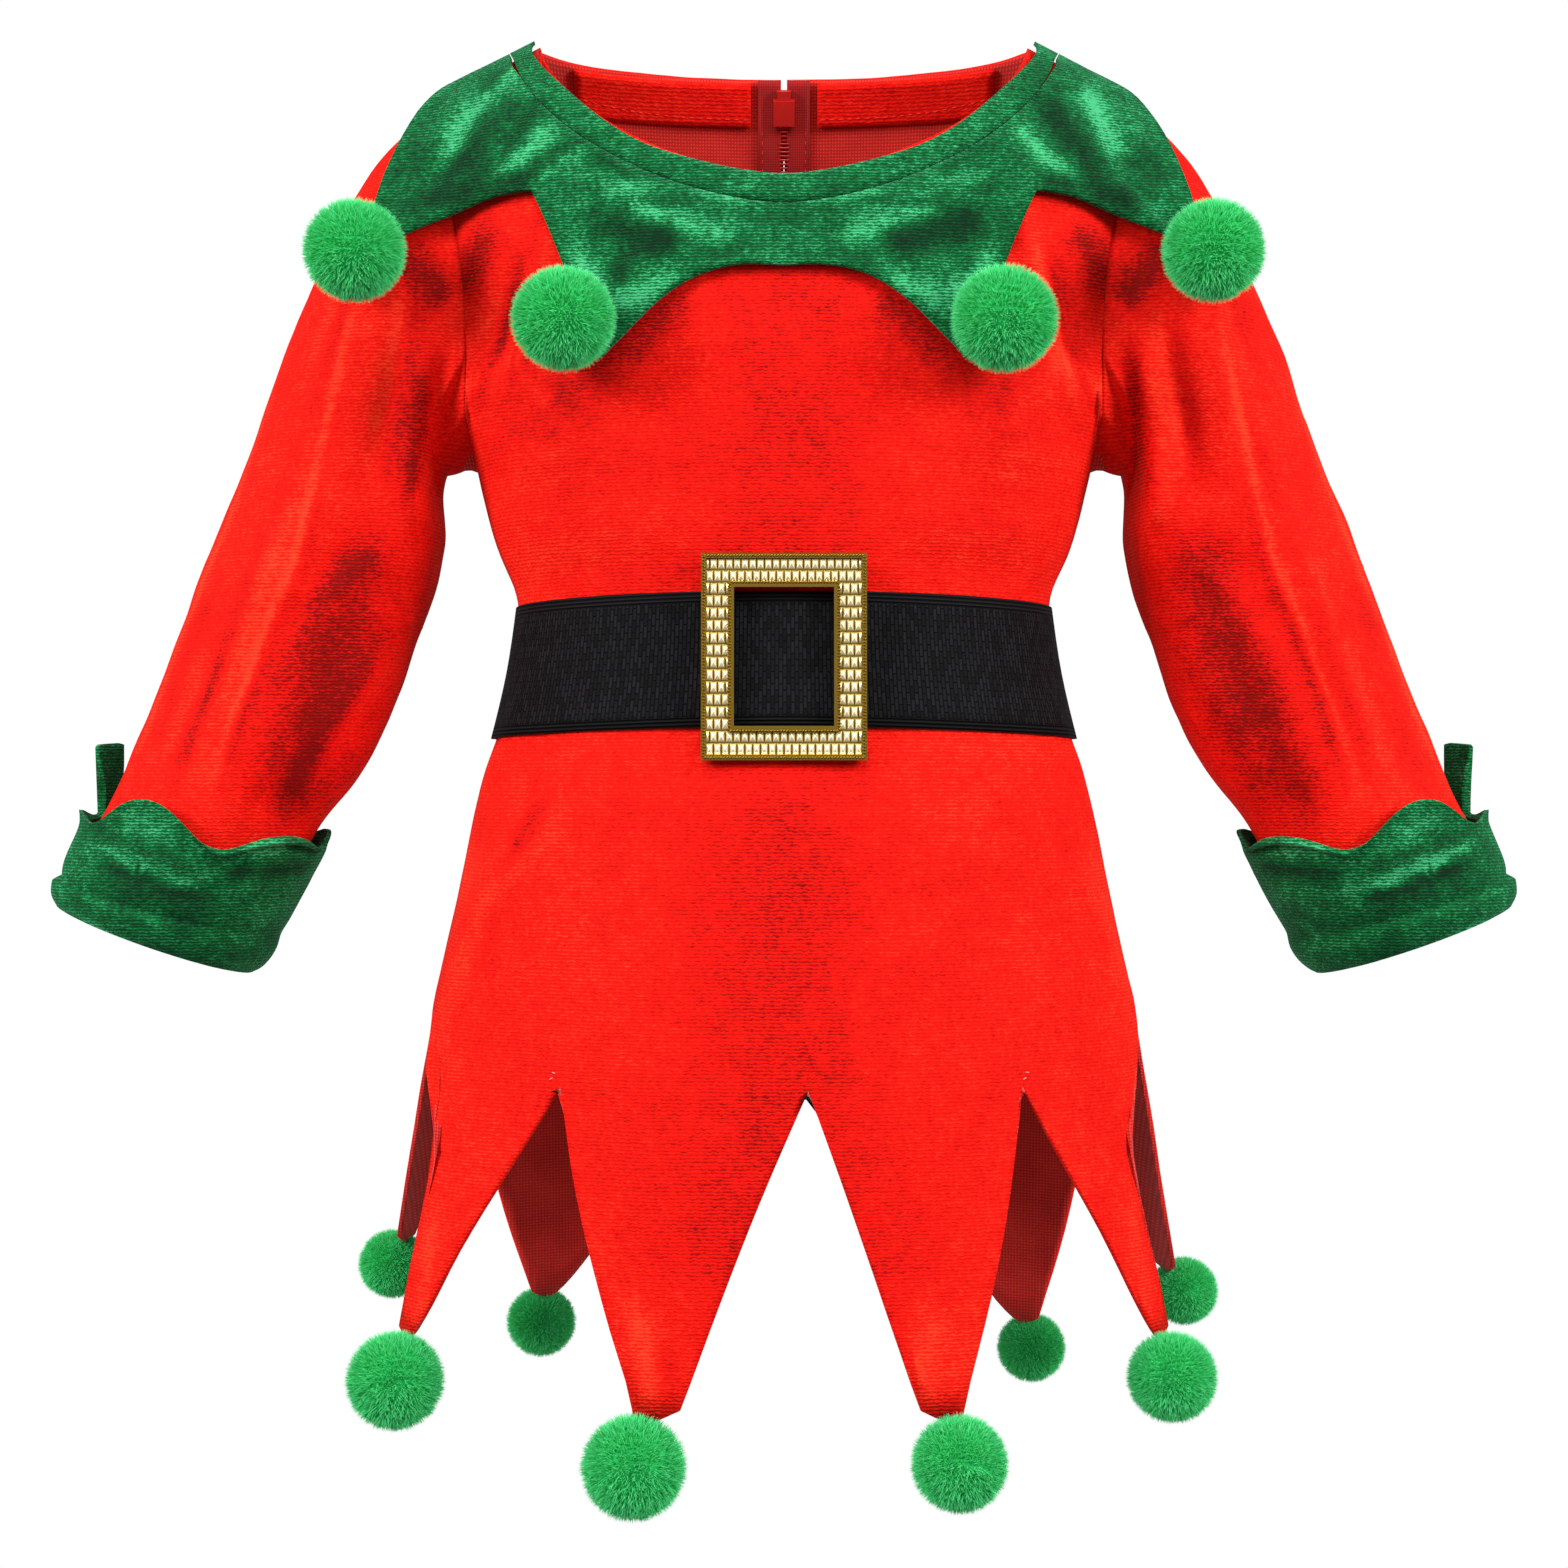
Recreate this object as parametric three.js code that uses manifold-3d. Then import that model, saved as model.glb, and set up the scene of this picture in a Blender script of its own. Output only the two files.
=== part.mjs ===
// A toddler's elf costume, filled out and hollow: red velvet dress with a pointed hem, green collar
// and cuffs, elastic belt with a studded buckle, pompoms and a zip in the back.
// Millimetres, +Z up, the front faces -Y. The origin is midway between the two neck points.
import * as THREE from 'three'
import Module from 'manifold-3d'

const wasm = await Module()
wasm.setup()

// Cloth
const VELVET = 1.6
const SEAM = 0.3
const LIE = 0.8

// Body: half width, front and back depth at each height
const SQUARE = 2.3
const TORSO = [
  { z: -530, half: 160, front: 102, back: 99 },
  { z: -449, half: 150.5, front: 98, back: 96 },
  { z: -410, half: 143, front: 95, back: 92 },
  { z: -371, half: 136, front: 92, back: 89 },
  { z: -332, half: 127.5, front: 88, back: 86 },
  { z: -293, half: 119.5, front: 84, back: 81 },
  { z: -277, half: 115.5, front: 79.5, back: 77 },
  { z: -268, half: 111, front: 77, back: 73 },
  { z: -246, half: 105.5, front: 74, back: 69 },
  { z: -223, half: 101.5, front: 72, back: 67 },
  { z: -211, half: 104.5, front: 73, back: 68 },
  { z: -196, half: 112, front: 75.5, back: 69 },
  { z: -167, half: 119, front: 78, back: 71 },
  { z: -140, half: 131, front: 77, back: 71 },
  { z: -100, half: 141, front: 73, back: 70 },
  { z: -60, half: 146, front: 66, back: 68 },
  { z: 0, half: 146, front: 62, back: 66 },
]
const UNDERARM_Z = -167
const SHOULDER_FROM_Z = -90
const NECK_X = 95
const NECK_FRONT_DROP = 63
const NECK_BACK_DROP = 3
const NECK_ROUND = 1.7
const DOME_RISE = 19
const SHOULDER_TIP_X = 138
const SHOULDER_TIP_Z = -23
const BODY_ROWS = [-167, -181, -196, -208, -219, -243, -266, -277, -293, -312, -334, -356]
const UPPER_STEPS = 8
const ROW_CROWD = 1.6
const HEM_STEPS = 4
const ARMHOLE = [
  { part: 0, x: 119, z: -167 },
  { part: 0.25, x: 120.5, z: -140 },
  { part: 0.5, x: 119.5, z: -108 },
  { part: 0.75, x: 126, z: -64 },
  { part: 1, x: 138, z: -23 },
]

// Hem: valleys and points, as angles round the body from the front centre
const FRONT_COLUMNS = 32
const withFrom = (rows) => rows.map((row) => ({ from: row.angle, ...row }))
const FRONT_HEM = withFrom([
  { column: 0, angle: -90, z: -371 },
  { column: 1, angle: -69, z: -395, from: -74 },
  { column: 2, angle: -58.9, z: -424, from: -64 },
  { column: 3, angle: -66.8, z: -489, from: -56 },
  { column: 4, angle: -62.7, z: -491, from: -53 },
  { column: 5, angle: -58.6, z: -489, from: -50 },
  { column: 8, angle: -33, z: -397 },
  { column: 11, angle: -16.8, z: -510 },
  { column: 12, angle: -13.8, z: -512 },
  { column: 13, angle: -10.8, z: -510 },
  { column: 16, angle: 2.3, z: -397 },
  { column: 19, angle: 14.9, z: -510 },
  { column: 20, angle: 17.9, z: -512 },
  { column: 21, angle: 20.9, z: -510 },
  { column: 24, angle: 35.8, z: -397 },
  { column: 27, angle: 58.6, z: -489, from: 50 },
  { column: 28, angle: 62.7, z: -491, from: 53 },
  { column: 29, angle: 66.8, z: -489, from: 56 },
  { column: 30, angle: 58.9, z: -424, from: 64 },
  { column: 31, angle: 69, z: -395, from: 74 },
  { column: 32, angle: 90, z: -371 },
])
const BACK_COLUMNS = 14
const BACK_HEM = {
  left: withFrom([
    { column: 0, angle: 0, z: -385 },
    { column: 4, angle: 32.4, z: -497 },
    { column: 5, angle: 36, z: -499 },
    { column: 6, angle: 39.6, z: -497 },
    { column: 9, angle: 62, z: -397 },
    { column: 11, angle: 74, z: -465 },
    { column: 12, angle: 80, z: -467 },
    { column: 13, angle: 86, z: -465 },
    { column: 14, angle: 90, z: -371 },
  ]),
  right: withFrom([
    { column: 0, angle: 0, z: -385 },
    { column: 4, angle: 32.4, z: -508 },
    { column: 5, angle: 36, z: -510 },
    { column: 6, angle: 39.6, z: -508 },
    { column: 9, angle: 62, z: -397 },
    { column: 11, angle: 74, z: -477 },
    { column: 12, angle: 80, z: -479 },
    { column: 13, angle: 86, z: -477 },
    { column: 14, angle: 90, z: -371 },
  ]),
}

// Folds of the body: angle round it, lean in degrees for 100 mm down, heights, width and depth
const BODY_FOLDS = [
  { angle: -62, lean: -14, top: -300, bottom: -470, width: 6, depth: 3 },
  { angle: -46, lean: -6, top: -330, bottom: -440, width: 7, depth: -3 },
  { angle: 47, lean: 7, top: -320, bottom: -450, width: 7, depth: -3 },
  { angle: 63, lean: 13, top: -290, bottom: -470, width: 6, depth: 3 },
  { angle: -30, lean: 4, top: -360, bottom: -460, width: 6, depth: 2.5 },
  { angle: 12, lean: -3, top: -370, bottom: -480, width: 6, depth: 2.5 },
  { angle: -70, lean: 12, top: -262, bottom: -330, width: 5, depth: 2 },
  { angle: 72, lean: -12, top: -262, bottom: -330, width: 5, depth: 2 },
  { angle: 150, lean: -8, top: -270, bottom: -460, width: 9, depth: 3 },
  { angle: -155, lean: 6, top: -280, bottom: -450, width: 9, depth: 3 },
  { angle: 118, lean: 5, top: -300, bottom: -430, width: 8, depth: -3 },
  { angle: -120, lean: -6, top: -300, bottom: -430, width: 8, depth: -3 },
]
const FOLD_FADE = 25
// Chest folds run slantwise in the front view, from the collar to the underarm
const CHEST_FOLDS = [
  { x: -84, z: -74, x2: -104, z2: -128, width: 5, depth: -2.5 },
  { x: 84, z: -74, x2: 104, z2: -128, width: 5, depth: -2.5 },
  { x: -76, z: -126, x2: -112, z2: -150, width: 6, depth: -2.5 },
  { x: 76, z: -126, x2: 112, z2: -150, width: 6, depth: -2.5 },
  { x: -72, z: -160, x2: -110, z2: -186, width: 6, depth: 1.8 },
  { x: 72, z: -160, x2: 110, z2: -186, width: 6, depth: 1.8 },
]

// Sleeve sections from the armhole to the wrist: outer and inner edge in the front view, half depth
const SLEEVE = [
  { outerX: 155.8, outerZ: -39.4, innerX: 132, innerZ: -168.5, deep: 46 },
  { outerX: 173.4, outerZ: -68.7, innerX: 133.5, innerZ: -176, deep: 46 },
  { outerX: 187.1, outerZ: -100, innerX: 131.8, innerZ: -187.8, deep: 45 },
  { outerX: 202.7, outerZ: -139, innerX: 132.4, innerZ: -197, deep: 44 },
  { outerX: 218.3, outerZ: -182, innerX: 137.5, innerZ: -216, deep: 43 },
  { outerX: 226, outerZ: -202, innerX: 140.6, innerZ: -226, deep: 42.5 },
  { outerX: 233.9, outerZ: -223, innerX: 144.1, innerZ: -237, deep: 42 },
  { outerX: 240.7, outerZ: -240.5, innerX: 149, innerZ: -252, deep: 41.5 },
  { outerX: 247.6, outerZ: -258.1, innerX: 155.8, innerZ: -268, deep: 41 },
  { outerX: 255, outerZ: -276, innerX: 166.5, innerZ: -288, deep: 41 },
  { outerX: 261.6, outerZ: -294, innerX: 183.5, innerZ: -304, deep: 40.5 },
]
const RING_STEPS = 2 * UPPER_STEPS
// Each sleeve is one cut of cloth; its solid is in two lengths that meet at this ring
const SLEEVE_SPLIT = 6
const SPLIT_GAP = 0.35
// Folds of the sleeve: ring and angle (0 outer edge, 90 front, 180 underarm) at both ends
const SLEEVE_FOLDS = [
  { ring: 0.6, angle: 128, ring2: 3.8, angle2: 150, width: 13, depth: 6 },
  { ring: 0.2, angle: 156, ring2: 3.6, angle2: 176, width: 10, depth: -7 },
  { ring: 1.5, angle: 72, ring2: 10, angle2: 100, width: 11, depth: 2.5 },
  { ring: 1.2, angle: 96, ring2: 9, angle2: 128, width: 12, depth: -4 },
  { ring: 7, angle: 120, ring2: 10.5, angle2: 150, width: 14, depth: -3 },
  { ring: 1.2, angle: 250, ring2: 8, angle2: 285, width: 14, depth: -3 },
  { ring: 0.8, angle: 212, ring2: 5, angle2: 200, width: 12, depth: 4 },
]

// Cuff: turned back velvet, a band with six petals along its upper edge
const CUFF_BOTTOM = { x: 244.3, z: -344.6, half: 43.5, deep: 42, lean: 20, dip: 0 }
const CUFF_TOP = { x: 225.5, z: -306, half: 47.8, deep: 46, lean: 7, dip: 7.5 }
const CUFF_WALL = 3
const CUFF_INSET = 0.6
const CUFF_LEVELS = [
  { level: 0, drop: 2.4, roll: -3.4, dropInside: 2.2 },
  { level: 0.02, roll: 0.4 },
  { level: 0.2, roll: 1.6 },
  { level: 0.29, roll: -1.2 },
  { level: 0.42, roll: 0.5 },
  { level: 0.95, roll: 0.4 },
]
const SLEEVE_END_LEVELS = [0.62, 0.3, 0.05]
const CUFF_STEP = 12
// Petals by angle: height above the band, how far they flare, and how much their tips curl over
const PETALS = [
  { angle: 18, half: 26, rise: 6, flare: 1, curl: 0 },
  { angle: 72, half: 30, rise: 20, flare: 2, curl: 0 },
  { angle: 135, half: 31, rise: 11, flare: 9, curl: 1 },
  { angle: 192, half: 26, rise: 7, flare: 1.5, curl: 0 },
  { angle: 252, half: 30, rise: 15, flare: 6, curl: 0 },
  { angle: 300, half: 26, rise: 9, flare: 3, curl: 0 },
]
// One petal stands up as a narrow finger behind the sleeve's outer edge
const FINGER = { rise: 27, flare: 4, from: 327, to: 341, blunt: 1.5, spread: 1.7 }
const PETAL_EDGE_RISE = 1
const PETAL_TIP_WALL = 1.4
const PETAL_TIP_DROP = 1.2
const PETAL_PATH = [
  { up: 0.35, out: 0.1, curlUp: 0.65, curlOut: 0.15 },
  { up: 0.7, out: 0.4, curlUp: 1, curlOut: 0.55 },
  { up: 1, out: 1, curlUp: 0.8, curlOut: 1 },
]

// Collar outline in the front view: neck edge part, outer edge x and z
const BAND_WIDTH = 11.5
const COLLAR_WALL = 1.6
const COLLAR = [
  { part: 0, x: 0, z: -99 },
  { part: 0.09, x: 12, z: -97.5 },
  { part: 0.2, x: 31, z: -100 },
  { part: 0.33, x: 50, z: -114 },
  { part: 0.42, x: 65, z: -132 },
  { part: 0.5, x: 77, z: -104 },
  { part: 0.56, x: 84, z: -85 },
  { part: 0.62, x: 92, z: -68 },
  { part: 0.7, x: 106, z: -68.5 },
  { part: 0.78, x: 125, z: -75 },
  { part: 0.86, x: 146, z: -84 },
  { part: 0.91, x: 156, z: -90 },
  { part: 0.95, x: 152, z: -66 },
  { part: 0.98, x: 143, z: -40 },
  { part: 1, x: 133, z: -24 },
]
const COLLAR_STEPS = 4
const COLLAR_LIFT = 2.2
const COLLAR_SHOULDER_LIFT = 1.2

// Belt and buckle
const BELT = { topFront: -216.5, topSide: -219, bottomFront: -266.3, bottomSide: -269.5, wall: 1.6 }
const BELT_SIDES = 56
const STUD = { across: 2.84, up: 4.5, rise: 1.3 }
const STUDS = { across: 20, up: 16, border: 3, borderUp: 2 }
const RIM = { wide: 1.8, rise: 1.7 }
const BUCKLE_PLATE = 1.6
const BUCKLE_Y = -78.6
const BUCKLE_Z = -240.9
const BUCKLE_LEAN = -3.2

// Zip
const ZIP = { top: -2, tapeBottom: -196, tapeIn: 1.2, tapeOut: 10.5, wall: 0.9 }
const FACING = { inner: 13.5, outer: 84, drop: 16, wall: 1.3 }
const SLIDER = { wide: 8.6, tall: 14.5, thick: 2.8, z: -11 }
const PULL = { out: 3.4, rest: 8, long: 24, wide: 6, thick: 1.2, neckAt: 4.4, fullAt: 9, corner: 2 }
const PULL_BAR = { radius: 0.7, leg: 1, inside: 1.25 }
const PULL_LOOP = { arch: 1.5, hole: 1.1, ring: 0.9 }

// Pompoms: centre, radius, and the point of cloth that each hangs on
const POMPOM_CORE = 0.72
const LOCK_ROOT = 0.84
const LOCK_TOP = 0.7
const POMPOM_GAP = 0.4
const POMPOMS = [
  { name: 'pompom_collar_left_outer', x: -159, y: -95, z: -95, radius: 19.5, on: 'collar' },
  { name: 'pompom_collar_left_inner', x: -78.3, y: -88, z: -119.7, radius: 19.5, on: 'collar' },
  { name: 'pompom_collar_right_inner', x: 78.3, y: -88, z: -119.7, radius: 19.8, on: 'collar' },
  { name: 'pompom_collar_right_outer', x: 159, y: -95, z: -95, radius: 19.5, on: 'collar' },
  { name: 'pompom_front_left_side', x: -143.9, y: -60, z: -508, radius: 18.6, on: 'front' },
  { name: 'pompom_front_left_centre', x: -53.8, y: -101, z: -531, radius: 19.3, on: 'front' },
  { name: 'pompom_front_right_centre', x: 63.1, y: -101, z: -531, radius: 17.8, on: 'front' },
  { name: 'pompom_front_right_side', x: 143.9, y: -60, z: -508, radius: 17.2, on: 'front' },
  { name: 'pompom_back_left_side', x: -157, y: 29, z: -480, radius: 14, on: 'back_left' },
  { name: 'pompom_back_left_centre', x: -102, y: 88, z: -513, radius: 14.8, on: 'back_left' },
  { name: 'pompom_back_right_centre', x: 104, y: 88, z: -524, radius: 14.8, on: 'back_right' },
  { name: 'pompom_back_right_side', x: 161, y: 29, z: -491, radius: 14, on: 'back_right' },
]

// Finishes
const finish = (color, roughness, metalness = 0) =>
  new THREE.MeshStandardMaterial({ color, roughness, metalness, side: THREE.DoubleSide })
const redVelvet = finish(0xd8140a, 0.85)
const greenVelvet = finish(0x0b6233, 0.85)
const greenYarn = finish(0x3fbf6f, 0.95)
const blackElastic = finish(0x101012, 0.9)
const goldPlate = finish(0xcdb56a, 0.3, 1)
const redZip = finish(0xc41a14, 0.5)

const RAD = Math.PI / 180
const vec = (x, y, z) => new THREE.Vector3(x, y, z)
const mix = THREE.MathUtils.lerp
const smooth = (value, from, to) => THREE.MathUtils.smoothstep(value, from, to)
const power = (value, n) => Math.sign(value) * Math.abs(value) ** n

// Smooth value of a table's column, with the rows sorted by another
function read(rows, by, value, column) {
  const last = rows.length - 1
  if (value <= rows[0][by]) return rows[0][column]
  if (value >= rows[last][by]) return rows[last][column]
  let i = 0
  while (rows[i + 1][by] < value) i++
  const slope = (k) => {
    const before = rows[Math.max(k - 1, 0)]
    const after = rows[Math.min(k + 1, last)]
    return (after[column] - before[column]) / (after[by] - before[by])
  }
  const span = rows[i + 1][by] - rows[i][by]
  const t = (value - rows[i][by]) / span
  const ease = t * t * (3 - 2 * t)
  const bend = slope(i) * t * (1 - t) ** 2 - slope(i + 1) * t * t * (1 - t)
  return mix(rows[i][column], rows[i + 1][column], ease) + span * bend
}

// Straight value between the rows of a table
function straight(rows, by, value, column) {
  let i = 0
  while (i < rows.length - 2 && rows[i + 1][by] < value) i++
  const t = (value - rows[i][by]) / (rows[i + 1][by] - rows[i][by])
  return mix(rows[i][column], rows[i + 1][column], THREE.MathUtils.clamp(t, 0, 1))
}

// Solids: a wall between an outer and an inner grid of points
function solid(points, faces) {
  const geometry = new THREE.BufferGeometry()
  let volume = 0
  for (const [a, b, c] of faces) {
    volume += points[a].dot(vec(0, 0, 0).crossVectors(points[b], points[c]))
  }
  const index = faces.flatMap(([a, b, c]) => (volume < 0 ? [a, c, b] : [a, b, c]))
  const positions = new Float32Array(points.flatMap((p) => [p.x, p.y, p.z]))
  geometry.setAttribute('position', new THREE.BufferAttribute(positions, 3))
  geometry.setIndex(index)
  geometry.computeVertexNormals()
  return geometry
}

function wall(outer, inner, loop = false) {
  const rows = outer.length
  const columns = outer[0].length
  const points = [...outer.flat(), ...inner.flat()]
  const top = (r, c) => r * columns + (c % columns)
  const under = (r, c) => rows * columns + top(r, c)
  const faces = []
  const quad = (a, b, c, d) => faces.push([a, b, c], [a, c, d])
  const across = loop ? columns : columns - 1
  for (let r = 0; r < rows - 1; r++) {
    for (let c = 0; c < across; c++) {
      quad(top(r, c), top(r, c + 1), top(r + 1, c + 1), top(r + 1, c))
      quad(under(r, c), under(r + 1, c), under(r + 1, c + 1), under(r, c + 1))
    }
  }
  for (let c = 0; c < across; c++) {
    quad(top(0, c), under(0, c), under(0, c + 1), top(0, c + 1))
    quad(top(rows - 1, c), top(rows - 1, c + 1), under(rows - 1, c + 1), under(rows - 1, c))
  }
  if (!loop) {
    for (let r = 0; r < rows - 1; r++) {
      quad(top(r, 0), top(r + 1, 0), under(r + 1, 0), under(r, 0))
      const end = columns - 1
      quad(top(r, end), under(r, end), under(r + 1, end), top(r + 1, end))
    }
  }
  return solid(points, faces)
}

// Outward normals of a grid whose rows go down and whose columns go to the right seen from outside
function normals(grid, loop = false) {
  const columns = grid[0].length
  return grid.map((row, r) =>
    row.map((point, c) => {
      const up = grid[Math.max(r - 1, 0)][c]
      const down = grid[Math.min(r + 1, grid.length - 1)][c]
      const left = loop ? row[(c + columns - 1) % columns] : row[Math.max(c - 1, 0)]
      const right = loop ? row[(c + 1) % columns] : row[Math.min(c + 1, columns - 1)]
      const along = right.clone().sub(left)
      return up.clone().sub(down).cross(along).normalize().negate()
    }),
  )
}

const moved = (grid, towards, distance) =>
  grid.map((row, r) => row.map((p, c) => p.clone().addScaledVector(towards[r][c], distance)))

// Inner points of a panel stay on its own side of the side, shoulder and centre seams
function keepSide(grid, side, inner) {
  inner.forEach((row, r) =>
    row.forEach((point, c) => {
      if (side * point.y < SEAM / 2) point.y = (side * SEAM) / 2
      if (side > 0 && grid[r][c].x * point.x <= 0) point.x = grid[r][c].x
    }),
  )
  return inner
}

// Torso
function foldAt(x, y, z) {
  const angle = Math.atan2(x, -y) / RAD
  let push = 0
  for (const fold of BODY_FOLDS) {
    const away = angle - fold.angle - (fold.lean * (fold.top - z)) / 100
    const begun = smooth(-z, -fold.top - FOLD_FADE, -fold.top + FOLD_FADE)
    const ended = smooth(-z, -fold.bottom - FOLD_FADE, -fold.bottom + FOLD_FADE)
    push += fold.depth * begun * (1 - ended) * Math.exp(-((away / fold.width) ** 2))
  }
  return push
}

function creaseAt(x, z) {
  let push = 0
  for (const fold of CHEST_FOLDS) {
    const run = [fold.x2 - fold.x, fold.z2 - fold.z]
    const length = Math.hypot(...run)
    const along = ((x - fold.x) * run[0] + (z - fold.z) * run[1]) / length
    const aside = ((x - fold.x) * run[1] - (z - fold.z) * run[0]) / length
    const ends = smooth(along, -8, length * 0.35) * (1 - smooth(along, length * 0.65, length + 8))
    push += fold.depth * ends * Math.exp(-((aside / fold.width) ** 2))
  }
  return push
}

function shoulderLine(x) {
  const out = Math.abs(x) - NECK_X
  if (out < 0) return DOME_RISE * (1 - (x / NECK_X) ** 2)
  return (SHOULDER_TIP_Z * out) / (SHOULDER_TIP_X - NECK_X)
}

// A point of the body by its place in the front view
function bodyPoint(x, z, side) {
  const half = read(TORSO, 'z', z, 'half')
  const deep = read(TORSO, 'z', z, side < 0 ? 'front' : 'back')
  const round = (1 - Math.min(Math.abs(x) / half, 1) ** SQUARE) ** (1 / SQUARE)
  const rise = (z - SHOULDER_FROM_Z) / (shoulderLine(x) - SHOULDER_FROM_Z)
  const dome = Math.sqrt(Math.max(1 - Math.max(rise, 0) ** 2, 0))
  const y = side * deep * round * dome
  const push = side < 0 ? creaseAt(x, z) * Math.min(round * dome * 1.4, 1) : 0
  return vec(x, y + side * push, z)
}

// A point of the body by its angle from the front (side -1) or back (side 1) centre
function ringPoint(angle, z, side) {
  const half = read(TORSO, 'z', z, 'half')
  const deep = read(TORSO, 'z', z, side < 0 ? 'front' : 'back')
  const x = half * power(Math.sin(angle * RAD), 2 / SQUARE)
  const y = side * deep * power(Math.cos(angle * RAD), 2 / SQUARE)
  const crease = side < 0 ? creaseAt(x, z) : 0
  const push = 1 + (foldAt(x, y, z) + crease) / Math.hypot(x, y)
  return vec(x * push, y * push, z)
}

// Top edge of a panel: the neckline, then the shoulder seam
const NECK_PART = 0.625
function topEdge(part, side) {
  const drop = side < 0 ? NECK_FRONT_DROP : NECK_BACK_DROP
  if (part <= NECK_PART) {
    const turn = (part / NECK_PART) * 90 * RAD
    return [NECK_X * Math.sin(turn) ** (2 / NECK_ROUND), -drop * Math.cos(turn) ** (2 / NECK_ROUND)]
  }
  const t = (part - NECK_PART) / (1 - NECK_PART)
  return [mix(NECK_X, SHOULDER_TIP_X, t), SHOULDER_TIP_Z * t]
}

// A point above the underarm: part 0 to 1 from the centre to the armhole, rise 0 to 1 from the underarm up
function upperPoint(part, rise, side) {
  const across = Math.abs(part)
  const sign = Math.sign(part) || 1
  const underarm = ringPoint(across * 90, UNDERARM_Z, side).x
  const [topX, topZ] = topEdge(across, side)
  const bend = across ** 4
  const curveX = read(ARMHOLE, 'part', rise, 'x') - mix(ARMHOLE[0].x, SHOULDER_TIP_X, rise)
  const curveZ = read(ARMHOLE, 'part', rise, 'z') - mix(UNDERARM_Z, SHOULDER_TIP_Z, rise)
  const x = mix(Math.min(underarm, ARMHOLE[0].x), topX, rise) + bend * curveX
  const z = mix(UNDERARM_Z, topZ, rise) + bend * curveZ
  return bodyPoint(sign * x, z, side)
}

// A panel's grid, with its rows from the shoulder to the hem
function panelGrid(side, columns, partOf, hem) {
  const grid = []
  const shift = side * (SEAM / 2)
  for (let step = UPPER_STEPS; step > 0; step--) {
    const rise = 1 - (1 - step / UPPER_STEPS) ** ROW_CROWD
    grid.push(columns.map((c) => upperPoint(partOf(c), rise, side)))
  }
  const lowest = BODY_ROWS.at(-1)
  const angleAt = (c, z) => {
    const t = smooth(-z, -UNDERARM_Z, -lowest)
    return mix(partOf(c) * 90, hem(c, 'from'), t)
  }
  for (const z of BODY_ROWS) grid.push(columns.map((c) => ringPoint(angleAt(c, z), z, side)))
  for (let step = 1; step <= HEM_STEPS; step++) {
    grid.push(
      columns.map((c) => {
        const t = step / HEM_STEPS
        const z = mix(lowest, hem(c, 'z'), t)
        return ringPoint(mix(hem(c, 'from'), hem(c, 'angle'), t * t), z, side)
      }),
    )
  }
  for (const point of grid.flat()) point.y += shift
  return grid
}

const range = (count) => Array.from({ length: count }, (_, i) => i)

const frontColumns = range(FRONT_COLUMNS + 1)
const frontGrid = panelGrid(
  -1,
  frontColumns,
  (c) => (2 * c) / FRONT_COLUMNS - 1,
  (c, value) => straight(FRONT_HEM, 'column', c, value),
)
const frontNormals = normals(frontGrid)
if (frontNormals[UPPER_STEPS][FRONT_COLUMNS / 2].y > 0) frontNormals.flat().forEach((n) => n.negate())
const frontInner = keepSide(frontGrid, -1, moved(frontGrid, frontNormals, -VELVET))

// The back halves are parted at the top, where the zip's slider comes through
function backHalf(sign) {
  const hem = sign < 0 ? BACK_HEM.left : BACK_HEM.right
  const order = sign < 0 ? range(BACK_COLUMNS + 1) : range(BACK_COLUMNS + 1).reverse()
  const grid = panelGrid(
    1,
    order,
    (c) => (sign * c) / BACK_COLUMNS,
    (c, value) => straight(hem, 'column', c, value) * (value === 'z' ? 1 : sign),
  )
  const centre = sign < 0 ? 0 : BACK_COLUMNS
  for (const row of grid) {
    const parted = SEAM / 2 + 1.3 * smooth(row[centre].z, -26, -8)
    row[centre].x = sign * parted
  }
  const outward = normals(grid)
  const middle = Math.round(BACK_COLUMNS / 2)
  if (outward[UPPER_STEPS][middle].y < 0) outward.flat().forEach((n) => n.negate())
  const inner = keepSide(grid, 1, moved(grid, outward, -VELVET))
  inner.forEach((row, r) => (row[centre].x = grid[r][centre].x))
  return { grid, inner }
}
const backs = { left: backHalf(-1), right: backHalf(1) }

// Sleeve
function sleeveFold(ring, angle) {
  let push = 0
  for (const fold of SLEEVE_FOLDS) {
    const t = (ring - fold.ring) / (fold.ring2 - fold.ring)
    const ends = smooth(t, -0.12, 0.18) * (1 - smooth(t, 0.75, 1.1))
    const away = angle - mix(fold.angle, fold.angle2, THREE.MathUtils.clamp(t, 0, 1))
    push += fold.depth * ends * Math.exp(-((away / fold.width) ** 2))
  }
  return push
}

// The cuff's ring at a level from its lower edge: centre, two half sizes, lean, and dip of its front
function cuffRing(level) {
  const mixed = (key) => mix(CUFF_BOTTOM[key], CUFF_TOP[key], level)
  return Object.fromEntries(Object.keys(CUFF_TOP).map((key) => [key, mixed(key)]))
}

function cuffPoint(level, angle, out, sign, lift = 0) {
  const ring = cuffRing(level)
  const c = Math.cos(angle * RAD)
  const s = Math.sin(angle * RAD)
  const lean = ring.lean * RAD
  const across = c * (ring.half + out)
  const x = ring.x + across * Math.cos(lean) - lift * Math.sin(lean)
  const z = ring.z + across * Math.sin(lean) + lift * Math.cos(lean) - s * ring.dip
  return vec(sign * x, -s * (ring.deep + out), z)
}

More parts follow.
